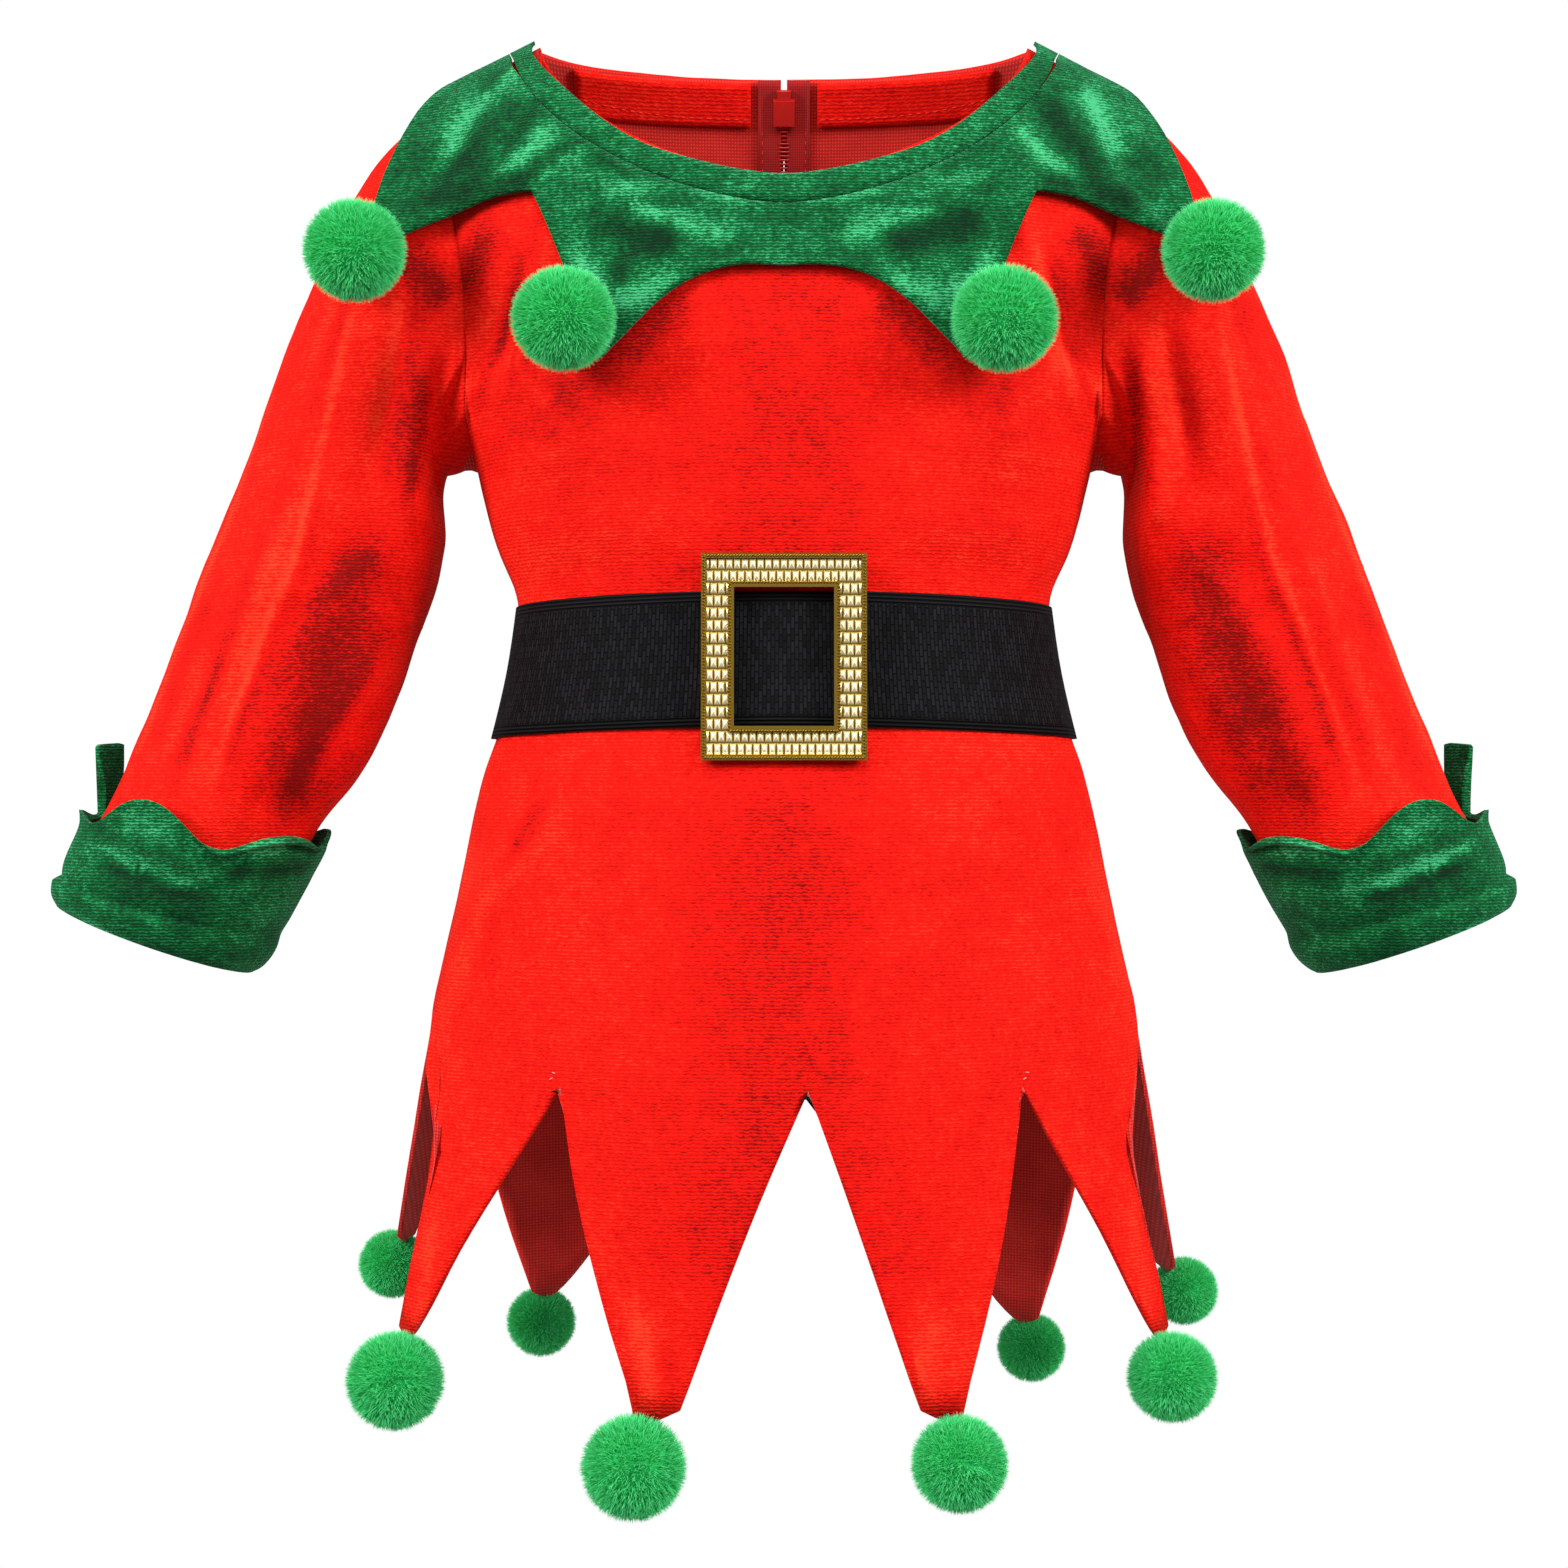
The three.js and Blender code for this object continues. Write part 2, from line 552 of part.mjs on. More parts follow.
function armholeLoop(sign) {
  const side = sign < 0 ? 'left' : 'right'
  const frontColumn = sign < 0 ? 0 : FRONT_COLUMNS
  const backColumn = sign < 0 ? BACK_COLUMNS : 0
  const back = backs[side]
  const loop = (front, behind) => {
    const points = []
    for (let i = 0; i <= UPPER_STEPS; i++) points.push(front[i][frontColumn].clone())
    points[0].lerp(behind[0][backColumn], 0.5)
    points[UPPER_STEPS].lerp(behind[UPPER_STEPS][backColumn], 0.5)
    for (let i = UPPER_STEPS - 1; i > 0; i--) points.push(behind[i][backColumn].clone())
    return points
  }
  return { outer: loop(frontGrid, back.grid), inner: loop(frontInner, back.inner) }
}

function sleeve(sign) {
  const edge = armholeLoop(sign)
  const rings = []
  const turns = range(RING_STEPS).map((step) => (step * 360) / RING_STEPS)
  SLEEVE.forEach(({ outerX, outerZ, innerX, innerZ, deep }, ring) => {
    const outerEdge = vec(sign * outerX, 0, outerZ)
    const middle = outerEdge.clone().add(vec(sign * innerX, 0, innerZ)).multiplyScalar(0.5)
    const half = outerEdge.sub(middle)
    const size = half.length()
    rings.push(
      turns.map((angle) => {
        const push = 1 + sleeveFold(ring, angle) / size
        const point = middle.clone().addScaledVector(half, Math.cos(angle * RAD) * push)
        point.y = -deep * Math.sin(angle * RAD) * push
        return point
      }),
    )
  })
  for (const level of SLEEVE_END_LEVELS) {
    rings.push(turns.map((angle) => cuffPoint(level, angle, -CUFF_WALL - CUFF_INSET, sign)))
  }
  const grid = [edge.outer, ...rings]
  const outward = normals(grid, true)
  if (sign > 0) outward.flat().forEach((n) => n.negate())
  const inner = moved(grid, outward, -VELVET)
  // The first ring stands off the armhole's edge by the seam gap, with the same wall
  edge.outer.forEach((point, i) => {
    const count = edge.outer.length
    const before = edge.outer[(i + count - 1) % count]
    const after = edge.outer[(i + 1) % count]
    const run = after.clone().sub(before)
    const away = run.cross(edge.inner[i].clone().sub(point)).normalize()
    if (away.dot(vec(sign, 0, i === UPPER_STEPS ? 4 : 0.2)) < 0) away.negate()
    grid[0][i] = point.clone().addScaledVector(away, 1.3 * SEAM)
    inner[0][i] = edge.inner[i].clone().addScaledVector(away, 1.3 * SEAM)
  })
  const lowerRows = (rows) => {
    const next = rows[SLEEVE_SPLIT + 1]
    const start = rows[SLEEVE_SPLIT].map((p, i) =>
      p.clone().lerp(next[i], SPLIT_GAP / p.distanceTo(next[i])),
    )
    return [start, ...rows.slice(SLEEVE_SPLIT + 1)]
  }
  const upperRows = (rows) => rows.slice(0, SLEEVE_SPLIT + 1)
  return {
    upper: wall(upperRows(grid), upperRows(inner), true),
    lower: wall(lowerRows(grid), lowerRows(inner), true),
  }
}

// Cuff
function petalAt(angle) {
  if (angle > FINGER.from && angle < FINGER.to) {
    return { ...FINGER, curl: 0, widen: (angle - (FINGER.from + FINGER.to) / 2) * (FINGER.spread - 1) }
  }
  let best = { rise: 0, flare: 0, curl: 0 }
  for (const petal of PETALS) {
    const away = Math.abs(angle - petal.angle) / petal.half
    const rise = petal.rise * Math.max(1 - away ** 2, 0)
    if (rise > best.rise) best = { rise, flare: petal.flare * (1 - away * 0.5), curl: petal.curl }
  }
  return best
}

function cuffAngles() {
  const even = range(360 / CUFF_STEP).map((i) => i * CUFF_STEP)
  const { from, to, blunt } = FINGER
  const finger = [from, from + blunt, to - blunt, to]
  return [...even, ...finger].sort((a, b) => a - b)
}

function cuff(sign) {
  const outer = []
  const inner = []
  const angles = cuffAngles()
  for (const { level, roll, drop = 0, dropInside = 0 } of CUFF_LEVELS) {
    outer.unshift(angles.map((a) => cuffPoint(level, a, roll, sign, -drop)))
    inner.unshift(angles.map((a) => cuffPoint(level, a, -CUFF_WALL, sign, -dropInside)))
  }
  const top = CUFF_LEVELS.at(-1)
  PETAL_PATH.forEach((step, i) => {
    const place = (a, out, lift) => {
      const { rise, flare, curl, widen = 0 } = petalAt(a)
      const up = mix(step.up, step.curlUp, curl) * (rise + PETAL_EDGE_RISE) + lift * curl
      const away = mix(step.out, step.curlOut, curl) * flare
      return cuffPoint(top.level, a + widen * step.up, out + away, sign, up)
    }
    const wallOut = mix(-CUFF_WALL, -PETAL_TIP_WALL, Math.min(i, 1))
    outer.unshift(angles.map((a) => place(a, top.roll, 0)))
    inner.unshift(angles.map((a) => place(a, wallOut, i > 0 ? -PETAL_TIP_DROP : 0)))
  })
  return wall(outer, inner, true)
}

const garment = new THREE.Group()
const parts = {}
function add(name, geometry, material, parent = garment) {
  const mesh = new THREE.Mesh(geometry, material)
  mesh.name = name
  parent.add(mesh)
  parts[name] = mesh
  return mesh
}

add('front', wall(frontGrid, frontInner), redVelvet)
add('back_left', wall(backs.left.grid, backs.left.inner), redVelvet)
add('back_right', wall(backs.right.grid, backs.right.inner), redVelvet)
for (const [side, sign] of [['left', -1], ['right', 1]]) {
  const { upper, lower } = sleeve(sign)
  add(`sleeve_${side}_upper`, upper, redVelvet)
  add(`sleeve_${side}_lower`, lower, redVelvet)
}
add('cuff_left', cuff(-1), greenVelvet)
add('cuff_right', cuff(1), greenVelvet)

// Collar and neck band lie on the front and the sleeve heads
const ground = ['front', 'sleeve_left_upper', 'sleeve_right_upper'].map((name) => parts[name])
garment.updateMatrixWorld(true)
const caster = new THREE.Raycaster()
function onFront(x, z) {
  caster.set(vec(x, -400, z), vec(0, 1, 0))
  const [hit] = caster.intersectObjects(ground)
  return hit ? { point: hit.point, normal: hit.normal.clone().normalize() } : null
}

const neckEdge = (part) => topEdge(part * NECK_PART, -1)

// Collar point: part 0 to 1 from the centre to the shoulder, out 0 to 1 from neck edge to outer edge
function capePoint(part, out, lift) {
  const across = Math.abs(part)
  const [neckX, neckZ] = neckEdge(across)
  const x = mix(neckX, straight(COLLAR, 'part', across, 'x'), out)
  const z = mix(neckZ, straight(COLLAR, 'part', across, 'z'), out)
  const inside = Math.min(z, shoulderLine(x) - 1.2)
  const hit = onFront(Math.sign(part) * x, inside)
  return hit.point.addScaledVector(hit.normal, lift)
}

function bandShare(part) {
  const [x, z] = neckEdge(Math.abs(part))
  const outX = straight(COLLAR, 'part', Math.abs(part), 'x')
  const outZ = straight(COLLAR, 'part', Math.abs(part), 'z')
  return (extra) => (BAND_WIDTH + extra) / Math.hypot(outX - x, outZ - z)
}

const rightParts = COLLAR.map((row) => row.part)
const capeParts = [...rightParts.slice(1).map((part) => -part).reverse(), ...rightParts]
function capeGrid(steps, from, to, lift) {
  return range(steps + 1).map((step) =>
    capeParts.map((part) => {
      const out = mix(from(part), to(part), step / steps)
      return capePoint(part, out, lift(out, Math.abs(part)))
    }),
  )
}
const collarLift = (out, across) =>
  LIE + COLLAR_LIFT * out * out + COLLAR_SHOULDER_LIFT * smooth(across, 0.5, 0.75)
function cape(steps, from, to) {
  const under = capeGrid(steps, from, to, collarLift)
  const over = capeGrid(steps, from, to, (out, across) => collarLift(out, across) + COLLAR_WALL)
  return wall(over, under)
}

add('collar', cape(COLLAR_STEPS, (part) => bandShare(part)(SEAM + 0.1), () => 1), greenVelvet)
add('neck_band', cape(1, () => 0.03, (part) => bandShare(part)(0)), greenVelvet)

// Belt
function belt() {
  const level = (angle, share) => {
    const side = Math.abs(Math.sin(angle * RAD)) ** 2
    const top = mix(BELT.topFront, BELT.topSide, side)
    return mix(top, mix(BELT.bottomFront, BELT.bottomSide, side), share)
  }
  const ring = (share, lift) =>
    range(BELT_SIDES).map((i) => {
      const angle = (i * 360) / BELT_SIDES
      const side = angle < 90 || angle > 270 ? -1 : 1
      const point = ringPoint(side < 0 ? angle : 180 - angle, level(angle, share), side)
      const out = vec(point.x, point.y, 0).setLength(lift)
      return point.add(out)
    })
  const rows = (lift) => [0, 0.5, 1].map((share) => ring(share, lift))
  return wall(rows(LIE + BELT.wall), rows(LIE), true)
}
add('belt', belt(), blackElastic)

// Joining with manifold
function toManifold(geometry, matrix = new THREE.Matrix4()) {
  const bare = geometry.index ? geometry.toNonIndexed() : geometry.clone()
  bare.applyMatrix4(matrix)
  const keys = new Map()
  const points = []
  const corners = []
  const position = bare.getAttribute('position')
  for (let i = 0; i < position.count; i++) {
    const corner = [position.getX(i), position.getY(i), position.getZ(i)]
    const key = corner.map((v) => Math.round(v * 1e4)).join()
    if (!keys.has(key)) {
      keys.set(key, points.length / 3)
      points.push(...corner)
    }
    corners.push(keys.get(key))
  }
  const vertProperties = new Float32Array(points)
  const triVerts = new Uint32Array(corners)
  return new wasm.Manifold(new wasm.Mesh({ numProp: 3, vertProperties, triVerts }))
}

function fromManifold(body) {
  const mesh = body.getMesh()
  const geometry = new THREE.BufferGeometry()
  const positions = new Float32Array(mesh.vertProperties)
  geometry.setAttribute('position', new THREE.BufferAttribute(positions, 3))
  geometry.setIndex(new THREE.BufferAttribute(new Uint32Array(mesh.triVerts), 1))
  geometry.computeVertexNormals()
  return geometry
}

const join = (bodies) => fromManifold(bodies.reduce((whole, body) => whole.add(body)))
const block = (x, y, z, at = [0, 0, 0]) =>
  toManifold(new THREE.BoxGeometry(x, y, z), new THREE.Matrix4().makeTranslation(...at))

// Buckle: a frame with two rims and rows of pyramid studs between them, front to -Y
function frameBlock(wide, high, border, depth, front) {
  const outline = new THREE.Shape()
  const rectangle = (path, w, h) => {
    path.moveTo(-w / 2, -h / 2).lineTo(w / 2, -h / 2)
    path.lineTo(w / 2, h / 2).lineTo(-w / 2, h / 2)
    return path.closePath()
  }
  rectangle(outline, wide, high)
  outline.holes.push(rectangle(new THREE.Path(), wide - 2 * border, high - 2 * border))
  const geometry = new THREE.ExtrudeGeometry(outline, { depth, bevelEnabled: false })
  const turn = new THREE.Matrix4().makeRotationX(Math.PI / 2)
  return toManifold(geometry, turn.setPosition(0, front + depth, 0))
}

// Studs stand in rows, each row half a stud along from the next; their bases meet at half studs
function studField(front, back) {
  const points = []
  const places = new Map()
  const place = (x, y, z) => {
    const key = [x, y, z].map((v) => Math.round(v * 1e3)).join()
    if (!places.has(key)) {
      places.set(key, points.length)
      points.push(vec(x, y, z))
    }
    return places.get(key)
  }
  const faces = []
  const edges = new Map()
  const left = (-STUDS.across * STUD.across) / 2
  const low = (-STUDS.up * STUD.up) / 2
  const stud = (from, to, row) => {
    const xAt = (half) => left + (half * STUD.across) / 2
    const z0 = low + row * STUD.up
    const base = []
    for (let h = from; h <= to; h++) base.push([xAt(h), z0])
    for (let h = to; h >= from; h--) base.push([xAt(h), z0 + STUD.up])
    const centre = [(xAt(from) + xAt(to)) / 2, z0 + STUD.up / 2]
    const tip = place(centre[0], front - STUD.rise * (to - from === 2 ? 1 : 0.7), centre[1])
    const under = place(centre[0], back, centre[1])
    base.forEach(([x, z], i) => {
      const [x2, z2] = base[(i + 1) % base.length]
      const [a, b] = [place(x, front, z), place(x2, front, z2)]
      const [c, d] = [place(x, back, z), place(x2, back, z2)]
      faces.push([a, b, tip], [d, c, under])
      const twin = `${b}-${a}`
      if (edges.has(twin)) edges.delete(twin)
      else edges.set(`${a}-${b}`, [a, b, c, d])
    })
  }
  const rowOf = (from, to, row) => {
    let half = from
    if (row % 2) stud(half, ++half, row)
    while (half + 2 <= to) stud(half, (half += 2), row)
    if (half < to) stud(half, to, row)
  }
  const ends = 2 * STUDS.across
  for (let row = 0; row < STUDS.up; row++) {
    if (row < STUDS.borderUp || row >= STUDS.up - STUDS.borderUp) rowOf(0, ends, row)
    else {
      rowOf(0, 2 * STUDS.border, row)
      rowOf(ends - 2 * STUDS.border, ends, row)
    }
  }
  for (const [a, b, c, d] of edges.values()) faces.push([b, a, c], [b, c, d])
  return toManifold(solid(points, faces))
}

function buckle() {
  const fieldWide = STUDS.across * STUD.across
  const fieldHigh = STUDS.up * STUD.up
  const wide = fieldWide + 2 * RIM.wide - 0.2
  const high = fieldHigh + 2 * RIM.wide - 0.2
  const innerWide = fieldWide - 2 * STUDS.border * STUD.across + 0.2
  const innerHigh = fieldHigh - 2 * STUDS.borderUp * STUD.up + 0.2
  const border = (wide - innerWide) / 2 + RIM.wide
  const plate = frameBlock(wide, high, border, BUCKLE_PLATE, -BUCKLE_PLATE)
  const rimDeep = BUCKLE_PLATE + RIM.rise - 0.4
  const outerRim = frameBlock(wide, high, RIM.wide, rimDeep, -BUCKLE_PLATE - RIM.rise)
  const innerRim = frameBlock(innerWide, innerHigh, RIM.wide, rimDeep, -BUCKLE_PLATE - RIM.rise)
  const bars = [-1, 1].map((side) => block(2.4, 2.2, 44, [side * 23.5, 0.8, -1]))
  const studs = studField(-BUCKLE_PLATE - 0.2, -BUCKLE_PLATE / 2)
  return join([plate, outerRim, innerRim, studs, ...bars])
}
const buckleMesh = add('buckle', buckle(), goldPlate)
buckleMesh.position.set(0, BUCKLE_Y, BUCKLE_Z)
buckleMesh.rotation.x = BUCKLE_LEAN * RAD

// Zip tapes and neck facing lie inside the back, moved in from its points
function insideBack(x, z, away) {
  const point = bodyPoint(x, z, 1)
  const step = 1
  const across = bodyPoint(x + step, z, 1).sub(bodyPoint(x - step, z, 1))
  const up = bodyPoint(x, z + step, 1).sub(bodyPoint(x, z - step, 1))
  const normal = across.cross(up).normalize()
  if (normal.y < 0) normal.negate()
  return point.addScaledVector(normal, -away)
}

function insideStrip(xs, zsOf, away, thick) {
  const steps = zsOf(xs[0]).length
  const grid = (depth) => range(steps).map((i) => xs.map((x) => insideBack(x, zsOf(x)[i], depth)))
  return wall(grid(away), grid(away + thick))
}

const backNeckAt = (x) => {
  const turn = Math.asin(Math.min((Math.abs(x) / NECK_X) ** (NECK_ROUND / 2), 1))
  return -NECK_BACK_DROP * Math.cos(turn) ** (2 / NECK_ROUND)
}
const inBack = VELVET + LIE
for (const [side, sign] of [['left', -1], ['right', 1]]) {
  const tapeXs = [ZIP.tapeIn, ZIP.tapeOut].map((x) => sign * x)
  const tapeZs = () => [ZIP.top, -12, -24, -42, -64, -90, -120, -160, ZIP.tapeBottom]
  add(`zip_tape_${side}`, insideStrip(tapeXs, tapeZs, inBack, ZIP.wall), redZip)
  const facingXs = range(7).map((i) => sign * mix(FACING.inner, FACING.outer, i / 6))
  const facingZs = (x) => [0.5, 0.5 + FACING.drop / 2, FACING.drop].map((d) => backNeckAt(x) - d)
  add(`back_facing_${side}`, insideStrip(facingXs, facingZs, inBack, FACING.wall), redVelvet)
}

// Slider inside the zip's top, with a neck through the parted edges and a loop for the pull tab
const zipHead = new THREE.Group()
const slope = bodyPoint(0, SLIDER.z - 4, 1).y - bodyPoint(0, SLIDER.z + 4, 1).y
zipHead.position.set(0, bodyPoint(0, SLIDER.z, 1).y, SLIDER.z)
zipHead.rotation.x = Math.atan2(slope, 8)
garment.add(zipHead)
const inside = -(inBack + ZIP.wall + LIE)
const { arch, hole, ring: loopWall } = PULL_LOOP
const loopShape = new THREE.Shape().absarc(0, 0, hole + loopWall, 0, 2 * Math.PI)
loopShape.holes.push(new THREE.Path().absarc(0, 0, hole, 0, 2 * Math.PI))
const loopDepth = { depth: arch, bevelEnabled: false, curveSegments: 7 }
const loopTurn = new THREE.Matrix4().makeRotationY(Math.PI / 2).setPosition(-arch / 2, PULL.out, 0)
const loop = toManifold(new THREE.ExtrudeGeometry(loopShape, loopDepth), loopTurn)
const neckFrom = inside - 0.5
const neckTo = PULL.out - hole - 0.3
const neck = block(arch, neckTo - neckFrom, 3, [0, (neckTo + neckFrom) / 2, 0])
const middleY = inside - SLIDER.thick / 2
const body = block(SLIDER.wide, SLIDER.thick, SLIDER.tall - 4, [0, middleY, -2])
const nose = block(SLIDER.wide - 3, SLIDER.thick - 0.6, SLIDER.tall, [0, middleY, 0])
add('zip_slider', join([body, nose, neck, loop]), redZip, zipHead)

const pull = new THREE.Group()
pull.position.set(0, PULL.out, 0)
pull.rotation.x = -PULL.rest * RAD
zipHead.add(pull)
const barHalf = PULL_BAR.inside + PULL_BAR.leg
const bar = toManifold(
  new THREE.CylinderGeometry(PULL_BAR.radius, PULL_BAR.radius, 2 * barHalf, 10),
  new THREE.Matrix4().makeRotationZ(Math.PI / 2),
)
const legX = PULL_BAR.inside + PULL_BAR.leg / 2
const legs = [-1, 1].map((side) => block(PULL_BAR.leg, PULL.thick, 5.4, [side * legX, 0, -2.3]))
const halfTab = PULL.wide / 2
const tab = new THREE.Shape().moveTo(-barHalf, -PULL.neckAt).lineTo(-halfTab, -PULL.fullAt)
tab.lineTo(-halfTab, PULL.corner - PULL.long).lineTo(PULL.corner - halfTab, -PULL.long)
tab.lineTo(halfTab - PULL.corner, -PULL.long).lineTo(halfTab, PULL.corner - PULL.long)
tab.lineTo(halfTab, -PULL.fullAt).lineTo(barHalf, -PULL.neckAt).closePath()
const tabTurn = new THREE.Matrix4().makeRotationX(Math.PI / 2).setPosition(0, PULL.thick / 2, 0)
const tabDepth = { depth: PULL.thick, bevelEnabled: false }
const tabBody = toManifold(new THREE.ExtrudeGeometry(tab, tabDepth), tabTurn)
add('zip_pull', join([bar, ...legs, tabBody]), redZip, pull)

// Pompoms: a core with twenty blunt three-sided locks, one corner of them towards its seat
const ball = new THREE.IcosahedronGeometry(1, 0).getAttribute('position')
const ballCorner = (i) => new THREE.Vector3().fromBufferAttribute(ball, i)
const ballFaces = range(ball.count / 3).map((f) => [0, 1, 2].map((k) => ballCorner(3 * f + k)))
function lockCorner(face, k, share, radius) {
  const middle = face[0].clone().add(face[1]).add(face[2]).divideScalar(3)
  return middle.lerp(face[k], share).setLength(radius)
}

function pompom(radius, seat) {
  const points = []
  const keys = new Map()
  const place = (p) => {
    const key = p.toArray().map((v) => Math.round(v * 1e3)).join()
    if (!keys.has(key)) {
      keys.set(key, points.length)
      points.push(p)
    }
    return keys.get(key)
  }
  const firstLock = lockCorner(ballFaces[0], 0, LOCK_TOP, 1)
  const turn = new THREE.Quaternion().setFromUnitVectors(firstLock, seat)
  const faces = []
  for (const face of ballFaces) {
    const corner = (k, share, r) => lockCorner(face, k, share, r).applyQuaternion(turn)
    const ring = (share, r) => [0, 1, 2].map((k) => place(corner(k, share, r)))
    const rings = [
      ring(1, radius * POMPOM_CORE),
      ring(LOCK_ROOT, radius * POMPOM_CORE),
      ring(LOCK_TOP, radius),
    ]
    for (let i = 0; i < 2; i++) {
      for (let k = 0; k < 3; k++) {
        const n = (k + 1) % 3
        const [a, b, c, d] = [rings[i][k], rings[i][n], rings[i + 1][n], rings[i + 1][k]]
        faces.push([a, b, c], [a, c, d])
      }
    }
    faces.push(rings[2])
  }
  return solid(points, faces)
}

// Each pompom hangs on the nearest point of its cloth, just clear of it
function seatOf(centre, mesh) {
  const position = mesh.geometry.getAttribute('position')
  const index = mesh.geometry.index.array
  const corner = (i) => new THREE.Vector3().fromBufferAttribute(position, index[i])
  const nearest = vec(Infinity, Infinity, Infinity)
  const spot = new THREE.Vector3()
  for (let i = 0; i < index.length; i += 3) {
    new THREE.Triangle(corner(i), corner(i + 1), corner(i + 2)).closestPointToPoint(centre, spot)
    if (spot.distanceTo(centre) < nearest.distanceTo(centre)) nearest.copy(spot)
  }
  return nearest
}
for (const { name, x, y, z, radius, on } of POMPOMS) {
  const centre = vec(x, y, z)
  for (let pass = 0; pass < 4; pass++) {
    const seat = seatOf(centre, parts[on])
    centre.sub(seat).setLength(radius + POMPOM_GAP).add(seat)
  }
  const towards = seatOf(centre, parts[on]).sub(centre).normalize()
  const mesh = add(name, pompom(radius, towards), greenYarn)
  mesh.position.copy(centre)
}

export default garment
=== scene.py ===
# %% [markdown]
# A child's elf costume, filled out with no wearer. The imported model holds every sewn piece as a
# solid at its real size. This lesson dresses it: smooth velvet skins, yarn pompoms, an elastic belt,
# a studded buckle and a zip. It starts by loading the model and a few helpers.

# %% Load the model
import math

import bmesh
import bpy
import numpy as np
from mathutils import Matrix, Vector, noise
from mathutils.bvhtree import BVHTree
from mathutils.kdtree import KDTree


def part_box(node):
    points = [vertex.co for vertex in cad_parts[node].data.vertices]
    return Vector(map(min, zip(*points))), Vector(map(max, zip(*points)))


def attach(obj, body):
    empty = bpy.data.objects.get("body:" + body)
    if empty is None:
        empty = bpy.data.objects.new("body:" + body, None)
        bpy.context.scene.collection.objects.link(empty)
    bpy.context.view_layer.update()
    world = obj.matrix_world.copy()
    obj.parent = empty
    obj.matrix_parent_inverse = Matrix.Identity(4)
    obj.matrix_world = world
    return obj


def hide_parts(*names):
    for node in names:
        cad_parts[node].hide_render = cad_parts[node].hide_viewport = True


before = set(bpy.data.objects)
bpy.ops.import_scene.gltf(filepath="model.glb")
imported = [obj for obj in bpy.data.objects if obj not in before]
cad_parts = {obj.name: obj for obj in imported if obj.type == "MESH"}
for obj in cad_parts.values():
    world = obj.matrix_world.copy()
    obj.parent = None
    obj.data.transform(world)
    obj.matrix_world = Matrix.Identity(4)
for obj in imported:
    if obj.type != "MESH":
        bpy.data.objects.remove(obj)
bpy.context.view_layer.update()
MM = 0.001
GARMENT = "garment"

# %% [markdown]
# Colours are picked as sRGB hex values, as a designer reads them off a screen, and one function turns
# them to the linear values that shaders use. A second small function adds a shader node with its
# settings and links, so that each finish below reads as a short recipe.

# %% Helpers for colours and nodes
def linear(code):
    channels = [int(code[i : i + 2], 16) / 255 for i in (1, 3, 5)]
    return [c / 12.92 if c <= 0.04045 else ((c + 0.055) / 1.055) ** 2.4 for c in channels] + [1.0]


def add_node(tree, kind, links=None, values=None, **settings):
    node = tree.nodes.new(kind)
    for key, value in settings.items():
        setattr(node, key, value)
    for key, value in (values or {}).items():
        node.inputs[key].default_value = value
    for key, socket in (links or {}).items():
        tree.links.new(socket, node.inputs[key])
    return node


def new_material(name):
    material = bpy.data.materials.new(name)
    material.use_nodes = True
    tree = material.node_tree
    tree.nodes.clear()
    return material, tree


def surface(tree, values, links):
    shader = add_node(tree, "ShaderNodeBsdfPrincipled", links, values)
    add_node(tree, "ShaderNodeOutputMaterial", {"Surface": shader.outputs[0]})
    return shader


def ramp(tree, factor, stops):
    node = add_node(tree, "ShaderNodeValToRGB", {"Fac": factor})
    steps = node.color_ramp.elements
    while len(steps) < len(stops):
        steps.new(0.5)
    for step, (place, code) in zip(steps, stops):
        step.position = place
        step.color = linear(code)
    return node.outputs["Color"]


def math_node(tree, operation, first, second):
    node = add_node(tree, "ShaderNodeMath", operation=operation)
    for socket, value in zip(node.inputs, (first, second)):
        if isinstance(value, (int, float)):
            socket.default_value = value
        else:
            tree.links.new(value, socket)
    return node.outputs[0]


def band_scale(period):
    # Blender's wave bands repeat every 2 pi / 20 divided by their scale
    return 2 * math.pi / (20 * period)


# %% [markdown]
# Velvet is a knit with a short upright pile. The pile scatters light back at grazing angles, which is
# the sheen, and where it is pushed over it turns lighter or darker in soft patches. So the finish has
# a rough base, a tinted sheen, large and small mottling, and faint knit courses. The finest mottling
# of the real pile is about 1 mm; it is drawn at 1.7 mm so that it shows in the picture. Each cloth
# mesh also carries a pile value of painted light and painted shade along its creases and folds, and
# the front has a band of painted shade down its middle.

# %% Velvet finishes
def noise_at(tree, place, size, detail, roughness, distortion=0.4):
    values = {"Scale": 1 / size, "Detail": detail, "Roughness": roughness, "Distortion": distortion}
    return add_node(tree, "ShaderNodeTexNoise", {"Vector": place}, values).outputs["Fac"]


def weigh(tree, layers, weights):
    total = None
    for key, weight in weights.items():
        part = math_node(tree, "MULTIPLY", layers[key], weight)
        total = math_node(tree, "ADD", total, part) if total else part
    return total


PAINTED_LIGHT_STRENGTH = 0.2
PAINTED_MIDDLE_SHADE_HALF = 34 * MM
SHADE_WEIGHTS = {"patches": 0.26, "crush": 0.22, "specks": 0.36, "courses": 0.16}
RELIEF_WEIGHTS = {"crush": 1.2, "specks": 0.7, "courses": 0.4, "patches": 1.0}


